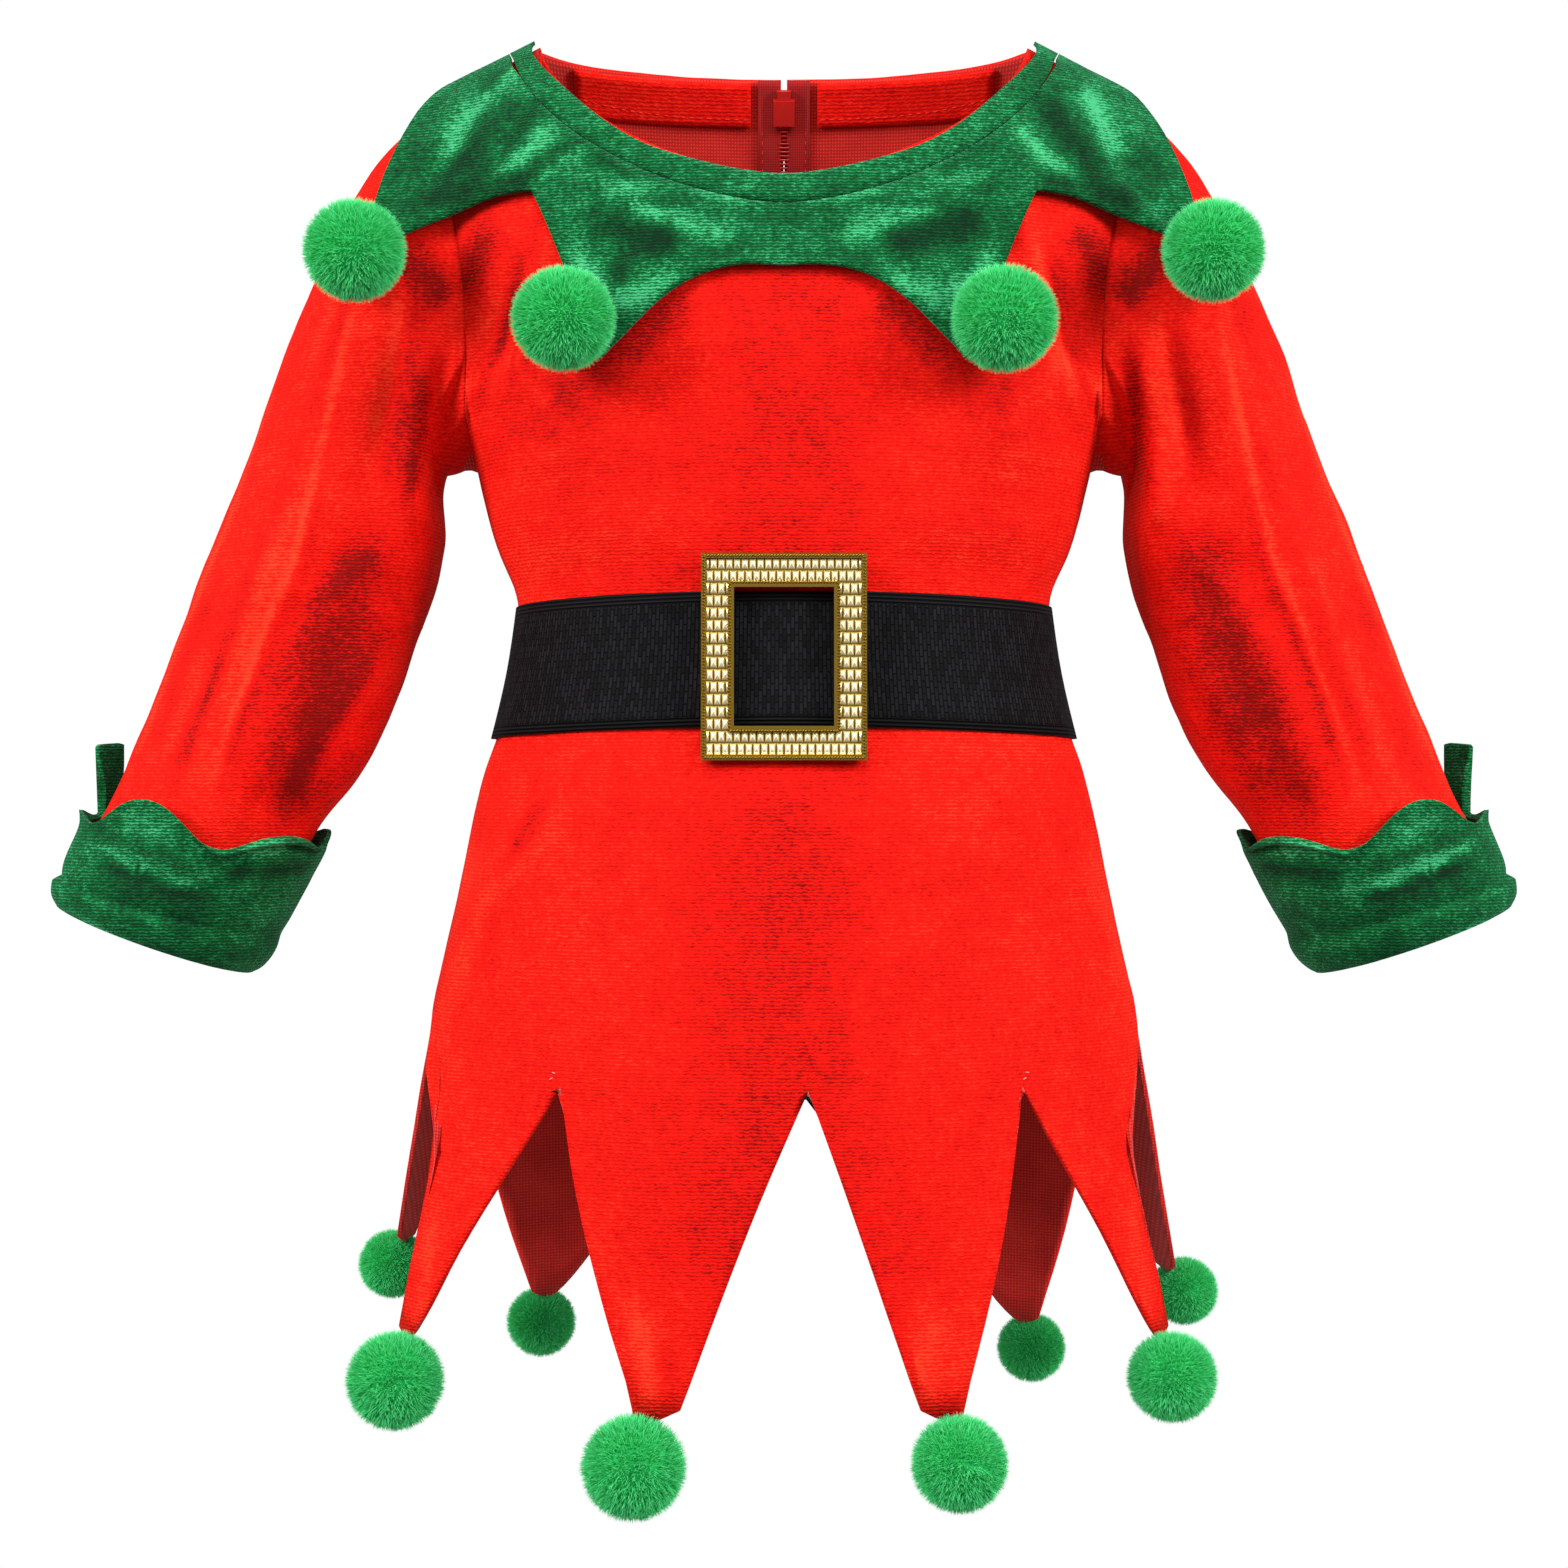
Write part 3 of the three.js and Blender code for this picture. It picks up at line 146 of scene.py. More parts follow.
def velvet(name, stops, finish, painted_middle_shade=0.0):
    material, tree = new_material(name)
    place = add_node(tree, "ShaderNodeTexCoord").outputs["Object"]
    layers = {
        "patches": noise_at(tree, place, finish["patch"], 3.0, 0.55, 0.8),
        "crush": noise_at(tree, place, finish["crush"], 4.0, 0.65),
        "specks": noise_at(tree, place, finish["speck"], 2.0, 0.6, 0.0),
    }
    layers["courses"] = add_node(
        tree, "ShaderNodeTexWave", {"Vector": place},
        {"Scale": band_scale(finish["course"]), "Distortion": 4.0, "Detail": 3.0, "Detail Scale": 2.5},
        wave_type="BANDS", bands_direction="Z",
    ).outputs["Fac"]
    shade = weigh(tree, layers, SHADE_WEIGHTS)
    if painted_middle_shade:
        # painted shade darkens the middle of the front, where the velvet faces the camera
        across = add_node(tree, "ShaderNodeSeparateXYZ", {"Vector": place}).outputs["X"]
        wide = math_node(tree, "MULTIPLY", across, 1 / PAINTED_MIDDLE_SHADE_HALF)
        square = math_node(tree, "MULTIPLY", wide, wide)
        band = math_node(tree, "EXPONENT", math_node(tree, "MULTIPLY", square, -1.0), 0.0)
        shade = math_node(tree, "SUBTRACT", shade, math_node(tree, "MULTIPLY", band, painted_middle_shade))
    # painted light and shade: the mesh's pile value lightens and darkens the colour
    lean = add_node(tree, "ShaderNodeAttribute", attribute_name="pile").outputs["Fac"]
    shade = math_node(tree, "ADD", shade, math_node(tree, "MULTIPLY", lean, PAINTED_LIGHT_STRENGTH))
    colour = ramp(tree, shade, stops)
    relief = weigh(tree, layers, RELIEF_WEIGHTS)
    normal = add_node(
        tree, "ShaderNodeBump", {"Height": relief}, {"Strength": finish["bump"], "Distance": 0.9 * MM}
    ).outputs["Normal"]
    values = {"Roughness": 0.85, "Specular IOR Level": 0.12, "Sheen Weight": finish["sheen"]}
    values.update({"Sheen Roughness": 0.35, "Sheen Tint": linear(finish["sheen_tint"])})
    surface(tree, values, {"Base Color": colour, "Normal": normal})
    return material


RED_FINISH = {
    "patch": 60 * MM, "crush": 7 * MM, "speck": 1.7 * MM, "course": 1.3 * MM,
    "bump": 0.4, "sheen": 0.55, "sheen_tint": "#ff3a20",
}
RED_STOPS = [(0.24, "#7c0200"), (0.40, "#d80a02"), (0.54, "#f21206"), (0.70, "#ff3a20")]
# the front's copy of the red velvet has a band of painted shade down the middle
RED_VELVET_MIDDLE_SHADE = velvet("stretch velvet, red pile, front", RED_STOPS, RED_FINISH, painted_middle_shade=0.10)
RED_VELVET = velvet("stretch velvet, red pile", RED_STOPS, RED_FINISH)
GREEN_FINISH = {
    "patch": 30 * MM, "crush": 5 * MM, "speck": 1.6 * MM, "course": 1.2 * MM,
    "bump": 0.6, "sheen": 0.35, "sheen_tint": "#6fe0a4",
}
GREEN_STOPS = [(0.30, "#01240f"), (0.47, "#034a22"), (0.57, "#0a6a35"), (0.72, "#45b478")]
GREEN_VELVET = velvet("crushed stretch velvet, green pile", GREEN_STOPS, GREEN_FINISH)


# %% [markdown]
# The back of the velvet is the plain knit that the pile grows from: matt, darker and with a fine mesh.
# It shows inside the back of the neck and on the inside of the back hem points. The real stitches are
# 0.6 mm; they are drawn at 1.2 mm.

# %% Knit back and zip tape
def knit(name, dark, light, period):
    material, tree = new_material(name)
    place = add_node(tree, "ShaderNodeTexCoord").outputs["Object"]
    waves = [
        add_node(
            tree, "ShaderNodeTexWave", {"Vector": place},
            {"Scale": band_scale(period), "Distortion": 0.6, "Detail": 1.0},
            wave_type="BANDS", bands_direction=direction,
        ).outputs["Fac"]
        for direction in ("X", "Z")
    ]
    mesh = math_node(tree, "MULTIPLY", *waves)
    cloud = add_node(
        tree, "ShaderNodeTexNoise", {"Vector": place}, {"Scale": 60.0, "Detail": 3.0}
    ).outputs["Fac"]
    shade = weigh(tree, {"mesh": mesh, "cloud": cloud}, {"mesh": 0.6, "cloud": 0.4})
    colour = ramp(tree, shade, [(0.15, dark), (0.75, light)])
    normal = add_node(
        tree, "ShaderNodeBump", {"Height": mesh}, {"Strength": 0.4, "Distance": 0.3 * MM}
    ).outputs["Normal"]
    values = {"Roughness": 0.85, "Sheen Weight": 0.15, "Specular IOR Level": 0.2}
    surface(tree, values, {"Base Color": colour, "Normal": normal})
    return material


RED_KNIT = knit("knit back of the red velvet", "#b41410", "#ff3c30", 1.2 * MM)
ZIP_TAPE = knit("woven polyester zip tape", "#8a0c0c", "#c8201c", 0.9 * MM)


# %% [markdown]
# Acrylic pompom yarn is cut and brushed, so every fibre end catches light: the tips get a painted
# highlight, and the depth between them painted shade. Each fibre carries its own shade as an
# attribute, and the colour also runs along it from root to tip.

# %% Yarn, thread, elastic, gold and lacquer
def yarn(name, stops):
    material, tree = new_material(name)
    shade = add_node(tree, "ShaderNodeAttribute", attribute_name="shade").outputs["Fac"]
    colour = ramp(tree, shade, stops)
    values = {"Roughness": 0.8, "Sheen Weight": 0.3, "Sheen Roughness": 0.5, "Specular IOR Level": 0.1}
    values["Sheen Tint"] = linear("#6af09a")
    surface(tree, values, {"Base Color": colour})
    return material


YARN_STOPS = [(0.0, "#10803c"), (0.4, "#30c468"), (0.75, "#5ae892"), (1.0, "#a0ffc4")]
GREEN_YARN = yarn("brushed acrylic yarn", YARN_STOPS)


def plain(name, code, roughness, metallic=0.0, grain=0.0, grain_size=1 * MM, coat=0.0):
    material, tree = new_material(name)
    place = add_node(tree, "ShaderNodeTexCoord").outputs["Object"]
    cloud = add_node(
        tree, "ShaderNodeTexNoise", {"Vector": place}, {"Scale": 1 / grain_size, "Detail": 4.0}
    ).outputs["Fac"]
    light = add_node(
        tree, "ShaderNodeMixRGB", {"Fac": cloud},
        {"Color1": [c * 0.82 for c in linear(code)[:3]] + [1], "Color2": linear(code)},
    ).outputs["Color"]
    normal = add_node(
        tree, "ShaderNodeBump", {"Height": cloud}, {"Strength": grain, "Distance": 0.2 * MM}
    ).outputs["Normal"]
    spread = math_node(tree, "ADD", math_node(tree, "MULTIPLY", cloud, 0.12), roughness - 0.06)
    values = {"Metallic": metallic, "Coat Weight": coat}
    surface(tree, values, {"Base Color": light, "Normal": normal, "Roughness": spread})
    return material


GOLD_DARK = plain("antiqued gold plated zinc", "#86661c", 0.32, 1.0, 0.1, 2 * MM)
RED_LACQUER = plain("red lacquered zinc", "#c4201c", 0.35, 0.0, 0.05, 3 * MM, 0.3)
RED_THREAD = plain("polyester sewing thread, red", "#d8281e", 0.6, 0.0, 0.2, 0.5 * MM)
PINK_THREAD = plain("polyester sewing thread, pale pink", "#ff9c96", 0.6, 0.0, 0.2, 0.5 * MM)
GREEN_THREAD = plain("polyester sewing thread, green", "#0d4a28", 0.6, 0.0, 0.2, 0.5 * MM)


# %% [markdown]
# The belt's elastic is woven: short upright threads stand over rubber cores in a brick pattern, about
# 1.4 by 4.5 mm, and a plain ribbed edge runs along both sides. The pattern follows the belt round the
# body, so it reads a UV map laid out in millimetres.

# %% Buckle and elastic finishes
BUCKLE_LEAN = math.radians(-3.2)
BUCKLE_PLACE = Vector((0, -78.6, -240.9)) * MM
BUCKLE_OUT = Vector((0, -math.cos(BUCKLE_LEAN), -math.sin(BUCKLE_LEAN)))
PLATE_THICK = 1.6
RIM_RISE = 1.7
GROOVE_DEPTH = 1.7


def painted_light_gold():
    # painted light: by depth, the studs' tips get a near-white painted highlight, the grooves painted shade
    material, tree = new_material("polished gold plated zinc")
    place = add_node(tree, "ShaderNodeTexCoord").outputs["Object"]
    centred = add_node(
        tree, "ShaderNodeVectorMath", {0: place}, {1: BUCKLE_PLACE}, operation="SUBTRACT"
    ).outputs[0]
    depth = add_node(
        tree, "ShaderNodeVectorMath", {0: centred}, {1: BUCKLE_OUT / MM}, operation="DOT_PRODUCT"
    ).outputs["Value"]
    share = math_node(tree, "MULTIPLY", math_node(tree, "SUBTRACT", depth, GROOVE_DEPTH), 1 / RIM_RISE)
    stops = [(0.0, "#3a2c0a"), (0.18, "#a88a3a"), (0.42, "#fdeec0"), (0.84, "#fffbe8"), (0.9, "#94762a")]
    colour = ramp(tree, share, stops)
    wear = noise_at(tree, place, 3 * MM, 3.0, 0.6)
    spread = math_node(tree, "ADD", math_node(tree, "MULTIPLY", wear, 0.15), 0.22)
    surface(tree, {"Metallic": 0.75}, {"Base Color": colour, "Roughness": spread})
    return material


GOLD_PAINTED_LIGHT = painted_light_gold()
BELT_HEIGHT = 50.0
BELT_EDGE = 4.0
EDGE_RIBS = 2.2


def elastic():
    material, tree = new_material("woven elastic, black")
    flat = add_node(tree, "ShaderNodeUVMap", uv_map="belt_mm").outputs["UV"]
    turned = add_node(tree, "ShaderNodeMapping", {"Vector": flat}, {"Rotation": (0, 0, math.pi / 2)})
    bricks = add_node(
        tree, "ShaderNodeTexBrick", {"Vector": turned.outputs[0]},
        {
            "Scale": 1.0, "Mortar Size": 0.28, "Mortar Smooth": 0.8, "Brick Width": 4.5, "Row Height": 1.45,
            "Color1": (1, 1, 1, 1), "Color2": (0.6, 0.6, 0.6, 1), "Mortar": (0, 0, 0, 1),
        },
    ).outputs["Color"]
    up = add_node(tree, "ShaderNodeSeparateXYZ", {"Vector": flat}).outputs["Y"]
    from_middle = math_node(tree, "ABSOLUTE", math_node(tree, "SUBTRACT", up, BELT_HEIGHT / 2), 0.0)
    inside = math_node(tree, "LESS_THAN", from_middle, BELT_HEIGHT / 2 - BELT_EDGE)
    grey = add_node(tree, "ShaderNodeRGBToBW", {"Color": bricks}).outputs[0]
    wave = math_node(tree, "SINE", math_node(tree, "MULTIPLY", from_middle, EDGE_RIBS), 0.0)
    ribs = math_node(tree, "ABSOLUTE", wave, 0.0)
    edge = math_node(tree, "MULTIPLY", math_node(tree, "SUBTRACT", 1.0, inside), ribs)
    height = math_node(tree, "ADD", math_node(tree, "MULTIPLY", grey, inside), edge)
    colour = ramp(tree, height, [(0.0, "#020203"), (0.6, "#060607"), (1.0, "#1a1a1d")])
    normal = add_node(
        tree, "ShaderNodeBump", {"Height": height}, {"Strength": 1.0, "Distance": 0.9 * MM}
    ).outputs["Normal"]
    values = {"Roughness": 0.75, "Specular IOR Level": 0.1}
    surface(tree, values, {"Base Color": colour, "Normal": normal})
    return material


ELASTIC = elastic()
print("finishes", sorted(material.name for material in bpy.data.materials))

# %% [markdown]
# The camera stands level in front of the garment, as in the photograph: it looks along +Y from the
# height of the buckle's lower part. Two large soft lights stand at the sides, which makes velvet glow
# towards its edges, and a weaker one hangs above. The backdrop is plain white; as a source of light it
# is dimmer, so that the folds keep their shade.

# %% Camera and lights
CAMERA_DISTANCE = 1.150
CAMERA_HEIGHT = -0.287
PHOTO_FOCAL_PX = 2949
PHOTO_PX = 1568
SENSOR_MM = 36.0
AMBIENT = 0.32
SIDE_WATTS = 44
TOP_WATTS = 16

scene = bpy.context.scene
camera_data = bpy.data.cameras.new("studio_camera")
camera_data.sensor_width = SENSOR_MM
camera_data.lens = SENSOR_MM * PHOTO_FOCAL_PX / PHOTO_PX
camera = bpy.data.objects.new("studio_camera", camera_data)
camera.location = (0, -CAMERA_DISTANCE, CAMERA_HEIGHT)
camera.rotation_euler = (math.pi / 2, 0, 0)
scene.collection.objects.link(camera)
scene.camera = camera
scene.view_settings.view_transform = "Standard"


def area_light(name, place, aim, size, power):
    data = bpy.data.lights.new(name, "AREA")
    data.shape = "SQUARE"
    data.size = size
    data.energy = power
    light = bpy.data.objects.new(name, data)
    light.location = place
    light.rotation_euler = (Vector(aim) - Vector(place)).to_track_quat("-Z", "Y").to_euler()
    scene.collection.objects.link(light)


area_light("side_left", (-1.7, -1.1, 0.5), (0, 0, -0.28), 0.8, SIDE_WATTS)
area_light("side_right", (1.7, -1.1, 0.5), (0, 0, -0.28), 0.8, SIDE_WATTS)
area_light("top_front", (0, -1.3, 1.3), (0, 0, -0.2), 0.9, TOP_WATTS)

world = bpy.data.worlds.new("white_studio")
world.use_nodes = True
sky = world.node_tree
sky.nodes.clear()
seen = add_node(sky, "ShaderNodeLightPath").outputs["Is Camera Ray"]
strength = math_node(sky, "ADD", math_node(sky, "MULTIPLY", seen, 1.0 - AMBIENT), AMBIENT)
backdrop = add_node(sky, "ShaderNodeBackground", {"Strength": strength}, {"Color": (1, 1, 1, 1)})
add_node(sky, "ShaderNodeOutputWorld", {"Surface": backdrop.outputs[0]})
scene.world = world
print("lens mm", round(camera_data.lens, 1), "lights", len(bpy.data.lights))

# %% [markdown]
# Each cloth piece starts as a copy of its solid. The copy's doubles are merged and its triangles are
# joined into four-sided faces, because a subdivision surface rounds those evenly. The wall's cut edges
# are creased, so neighbouring pieces still meet at their seams. After subdividing, small soft ripples
# are pressed into both faces of the wall together, along a direction that leads out of the body or
# the sleeve, so the wall keeps its thickness. The pile value paints light and shade by each crease's
# slope, one flank with a painted highlight and the other with painted shade. Last, the cloth's points
# are drawn a little way into the pompoms that are sewn to them.

# %% Cloth helpers
SHARP = math.radians(50)
FLAT_ENOUGH = math.radians(40)
SQUARE_ENOUGH = math.radians(60)
SAME_POINT = 0.02 * MM
JOIN_GAP = 0.6 * MM
FAR = 3
SEWN_REACH = 9 * MM
SEWN_DEPTH = 3.4 * MM
SLOPE_STEP = Vector((-0.7, 0, 0.7)) * MM
PAINTED_CREASE_LIGHT_GAIN = 1.3


def body_out(point):
    middle = Vector((point.x * 0.55, 0, min(point.z, -0.09)))
    return (point - middle).normalized()


SLEEVE_TOP = Vector((0.1439, 0, -0.104))
SLEEVE_END = Vector((0.2443, 0, -0.3446))


def sleeve_out(point):
    side = -1 if point.x < 0 else 1
    top = Vector((side * SLEEVE_TOP.x, 0, SLEEVE_TOP.z))
    end = Vector((side * SLEEVE_END.x, 0, SLEEVE_END.z))
    run = end - top
    share = (point - top).dot(run) / run.length_squared
    return (point - top - run * share).normalized()


def front_out(point):
    return Vector((point.x * 2, -0.12, 0.05)).normalized()


def crease_push(point, creases):
    # creases are lines in the front view, mirrored: x, z, x2, z2, half width and depth in mm
    x, z = abs(point.x) / MM, point.z / MM
    push = 0
    for x1, z1, x2, z2, wide, deep in creases:
        run_x, run_z = x2 - x1, z2 - z1
        length = math.hypot(run_x, run_z)
        along = ((x - x1) * run_x + (z - z1) * run_z) / length
        aside = ((x - x1) * run_z - (z - z1) * run_x) / length / wide
        if abs(aside) < FAR and -wide < along < length + wide:
            ends = soft_step(along, -wide, length * 0.3)
            ends *= 1 - soft_step(along, length * 0.7, length + wide)
            push += deep * ends * math.exp(-aside * aside)
    return push * MM


def painted_line_light(point, lines):
    # lines are paths in the front view, mirrored left and right, with a half width and a strength;
    # positive strength paints light, negative strength paints shade
    x, z = abs(point.x) / MM, point.z / MM
    glow = 0
    for path, wide, strength in lines:
        nearest = FAR * wide
        where = total = 0.0
        for (x1, z1), (x2, z2) in zip(path, path[1:]):
            step = Vector((x2 - x1, z2 - z1))
            along = min(max(Vector((x - x1, z - z1)).dot(step) / step.length_squared, 0), 1)
            away = math.hypot(x - x1 - step.x * along, z - z1 - step.y * along)
            if away < nearest:
                nearest, where = away, total + along * step.length
            total += step.length
        if nearest < FAR * wide:
            ends = soft_step(where, 0, total * 0.2) * (1 - soft_step(where, total * 0.8, total))
            glow += strength * ends * math.exp(-((nearest / wide) ** 2))
    return glow


def soft_step(value, start, end):
    t = min(max((value - start) / (end - start), 0), 1)
    return t * t * (3 - 2 * t)


def finish_piece(piece, nodes):
    if nodes:
        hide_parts(*nodes)
    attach(piece, GARMENT)


def link_smooth(name, bm, material):
    mesh = bpy.data.meshes.new(name)
    bm.to_mesh(mesh)
    bm.free()
    for polygon in mesh.polygons:
        polygon.use_smooth = True
    print(name, "faces", len(mesh.polygons))
    return link_mesh(name, mesh, [material])


def link_mesh(name, mesh, materials):
    for material in materials:
        mesh.materials.append(material)
    piece = bpy.data.objects.new(name, mesh)
    scene.collection.objects.link(piece)
    return piece


def ripple_at(point, size, seed):
    offset = Vector((seed * 3.7, seed * 1.3, seed * 2.1))
    broad = noise.noise(point / size + offset)
    fine = noise.noise(point * 2.7 / size + offset)
    return broad + 0.35 * fine


def joined_nodes(nodes):
    # one mesh from nodes that meet end to end: their facing ends are opened and sewn together
    bm = bmesh.new()
    for node in nodes:
        bm.from_mesh(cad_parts[node].data)
    for layer in list(bm.loops.layers.uv):
        bm.loops.layers.uv.remove(layer)
    bmesh.ops.remove_doubles(bm, verts=bm.verts, dist=SAME_POINT)
    if len(nodes) > 1:
        tree = KDTree(len(bm.verts))
        bm.verts.index_update()
        for vertex in bm.verts:
            tree.insert(vertex.co, vertex.index)
        tree.balance()
        meeting = {v for v in bm.verts if len(tree.find_range(v.co, JOIN_GAP)) > 1}
        ends = [face for face in bm.faces if all(v in meeting for v in face.verts)]
        bmesh.ops.delete(bm, geom=ends, context="FACES_ONLY")
        bmesh.ops.remove_doubles(bm, verts=list(meeting), dist=JOIN_GAP)
    return bm


def into_yarn(point, tufts):
    # the points of the cloth are sewn into their pompoms
    for centre, radius in tufts:
        away = centre - point
        near = 1 - soft_step(away.length, radius, radius + SEWN_REACH)
        point = point + away.normalized() * SEWN_DEPTH * near
    return point


def tufts_of(start):
    tufts = []
    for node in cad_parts:
        if node.startswith(start):
            low, high = (Vector(corner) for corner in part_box(node))
            tufts.append(((low + high) / 2, max(high - low) / 2))
    return tufts


def cloth_piece(
    name, nodes, outward, faces, ripple, size, seed,
    levels=2, extra=None, soft_edge=0.0, pile=None, tufts=(),
):
    nodes = [nodes] if isinstance(nodes, str) else nodes
    bm = joined_nodes(nodes)
    bmesh.ops.join_triangles(
        bm, faces=bm.faces, angle_face_threshold=FLAT_ENOUGH, angle_shape_threshold=SQUARE_ENOUGH
    )
    kept_sharp = bm.edges.layers.float.new("crease_edge")
    for edge in bm.edges:
        if len(edge.link_faces) == 2 and edge.calc_face_angle(0) > SHARP:
            edge[kept_sharp] = 1.0 - soft_edge
    mesh = bpy.data.meshes.new(name)
    bm.to_mesh(mesh)
    bm.free()
    piece = link_mesh(name, mesh, faces)
    smoother = piece.modifiers.new("rounded cloth", "SUBSURF")
    smoother.levels = smoother.render_levels = levels
    depsgraph = bpy.context.evaluated_depsgraph_get()
    shaped = bpy.data.meshes.new_from_object(piece.evaluated_get(depsgraph))
    piece.modifiers.clear()
    piece.data = shaped
    # the pile value holds painted light and shade for the velvet's colour
    lean = shaped.attributes.new("pile", "FLOAT", "POINT")
    for vertex in shaped.vertices:
        out = outward(vertex.co)
        push = ripple * ripple_at(vertex.co, size, seed)
        if extra:
            crease = extra(vertex.co)
            # painted light and shade by the crease's slope: one flank lighter, the other darker
            slope = (extra(vertex.co + SLOPE_STEP) - crease) / SLOPE_STEP.length
            lean.data[vertex.index].value = PAINTED_CREASE_LIGHT_GAIN * slope
            push += crease
        # painted shadows and highlights along the listed lines
        if pile:
            lean.data[vertex.index].value += pile(vertex.co)
        vertex.co = into_yarn(vertex.co + out * push, tufts)
    for polygon in shaped.polygons:
        polygon.use_smooth = True
        if len(faces) > 1 and polygon.normal.dot(outward(polygon.center)) < 0:
            polygon.material_index = 1
    shaped.update()
    finish_piece(piece, nodes)
    area = sum(p.area for p in shaped.polygons) / 2
    print(name, "faces", len(shaped.polygons), "area m2", round(area, 4))
    return piece


# %% [markdown]
# The body is a front panel and two back halves, cut wide in the skirt and zigzag at the hem. The zip
# joins the backs. The folds that the solids carry are kept, and short creases are added where the
# photograph shows them: above the belt, which gathers the cloth, and from the underarms.

# %% Body creases
GATHER_END = 6
# each a soft ridge: place round the body in degrees, lower and upper end, half width and depth in mm
GATHERS = [
    {"angle": angle, "low": low, "high": high, "wide": wide, "deep": deep}
    for angle, low, high, wide, deep in (
        (-78, -216, -196, 2.6, 0.8), (-66, -217, -190, 3.0, -0.9), (-52, -216, -200, 2.4, 0.6),
        (-40, -217, -194, 3.4, 0.7), (44, -217, -193, 3.2, 0.8), (57, -216, -199, 2.6, -0.7),
        (69, -217, -191, 3.0, 0.9), (80, -216, -198, 2.4, 0.6), (-74, -300, -270, 3.0, 0.9),
        (-60, -292, -270, 2.6, -0.8), (-47, -304, -270, 3.4, 0.7), (50, -300, -270, 3.2, 0.8),
        (64, -294, -270, 2.4, -0.7), (76, -306, -270, 3.0, 0.9), (120, -300, -270, 3.4, 1.0),
        (140, -310, -270, 3.0, -0.8), (160, -296, -270, 3.2, 0.8), (-118, -306, -270, 3.2, 1.0),
        (-141, -298, -270, 2.8, -0.8), (-163, -304, -270, 3.4, 0.8), (126, -217, -190, 3.0, 0.8),
        (150, -217, -196, 3.4, -0.7), (-128, -217, -192, 3.0, 0.8), (-152, -217, -197, 3.2, 0.7),
    )
]
CHEST_CREASES = [
    (82, -60, 94, -108, 4.6, 2.4), (90, -92, 78, -130, 4.4, -2.4), (98, -84, 112, -134, 4.8, -2.8),
    (88, -130, 114, -142, 3.8, 1.8), (82, -146, 114, -154, 3.8, -1.6), (76, -160, 112, -164, 4.0, 1.4),
    (58, -172, 108, -180, 3.8, -1.0), (46, -190, 100, -196, 3.8, 1.0), (36, -205, 96, -208, 3.6, -0.8),
    (80, -290, 112, -330, 5.0, 1.6), (92, -284, 122, -360, 5.0, -1.6), (100, -300, 134, -380, 5.0, 1.6),
]


def body_gathers(point):
    angle = math.degrees(math.atan2(point.x, -point.y))
    height = point.z / MM
    push = 0
    for fold in GATHERS:
        away = (angle - fold["angle"]) / fold["wide"]
        if abs(away) < FAR:
            ends = soft_step(height, fold["low"] - GATHER_END, fold["low"] + GATHER_END)
            ends *= 1 - soft_step(height, fold["high"] - GATHER_END, fold["high"] + GATHER_END)
            push += fold["deep"] * math.exp(-away * away) * ends
    # pulls in the chest: from the collar points out to the underarm, and level strain lines beside it
    push = push * MM
    if point.y < 0:
        push += crease_push(point, CHEST_CREASES)
    return push


# Painted light and shade in the pile value: painted highlights along fold edges and painted shadows
# in the folds and under the collar points. Each line is a path in the front view in mm, its half
# width, and its strength, mirrored left and right.
FRONT_PAINTED_LIGHT = [
    ([(60, -126), (88, -150)], 9, -0.6),
    ([(62, -134), (46, -118), (30, -110)], 6, -1.0),
    ([(106, -76), (116, -90), (124, -108)], 7, -1.1),
    ([(126, -143), (113, -133), (100, -126)], 1.8, 0.9),
    ([(112, -140), (98, -128), (90, -118)], 1.6, 0.6),
    ([(98, -84), (106, -118), (118, -150)], 3.0, -0.7),
    ([(92, -84), (98, -112), (110, -146)], 2.2, 0.5),
    ([(56, -470), (49, -490), (47, -508)], 5, 0.8),
    ([(42, -484), (41, -512)], 4, -0.6),
    ([(116, -300), (127, -360), (136, -420)], 10, 0.4),
    ([(128, -440), (136, -488)], 4, 0.6),
]


# %% Body panels
front = cloth_piece(
    "front_panel", "front", body_out, [RED_VELVET_MIDDLE_SHADE, RED_KNIT], 0.5 * MM, 26 * MM, 1,
    extra=body_gathers, pile=lambda point: painted_line_light(point, FRONT_PAINTED_LIGHT), tufts=tufts_of("pompom_front"),
)
for side, seed in (("left", 2), ("right", 3)):
    back = cloth_piece(
        f"back_panel_{side}", f"back_{side}", body_out, [RED_VELVET, RED_KNIT],
        0.5 * MM, 26 * MM, seed, extra=body_gathers, tufts=tufts_of(f"pompom_back_{side}"),
    )

# %% [markdown]
# A sleeve is a tube of velvet with its seam under the arm. On the filled-out garment a roll of cloth
# stands in front of the underarm, and long soft folds run down to the cuff.

# %% Sleeves
SLEEVE_CREASES = [
    (152, -66, 190, -190, 4.6, 2.6), (186, -176, 230, -296, 4.4, 2.4), (160, -74, 184, -180, 6.0, -3.0),
    (140, -100, 154, -176, 5.0, -3.4), (133, -120, 142, -186, 4.0, 2.8), (164, -190, 206, -262, 7.0, -2.8),
    (148, -228, 190, -292, 5.0, 2.2), (212, -232, 240, -290, 5.0, -1.8), (178, -268, 198, -302, 5.0, -2.2),
    (198, -120, 216, -180, 5.0, -1.4), (146, -196, 176, -220, 4.6, 1.4),
]
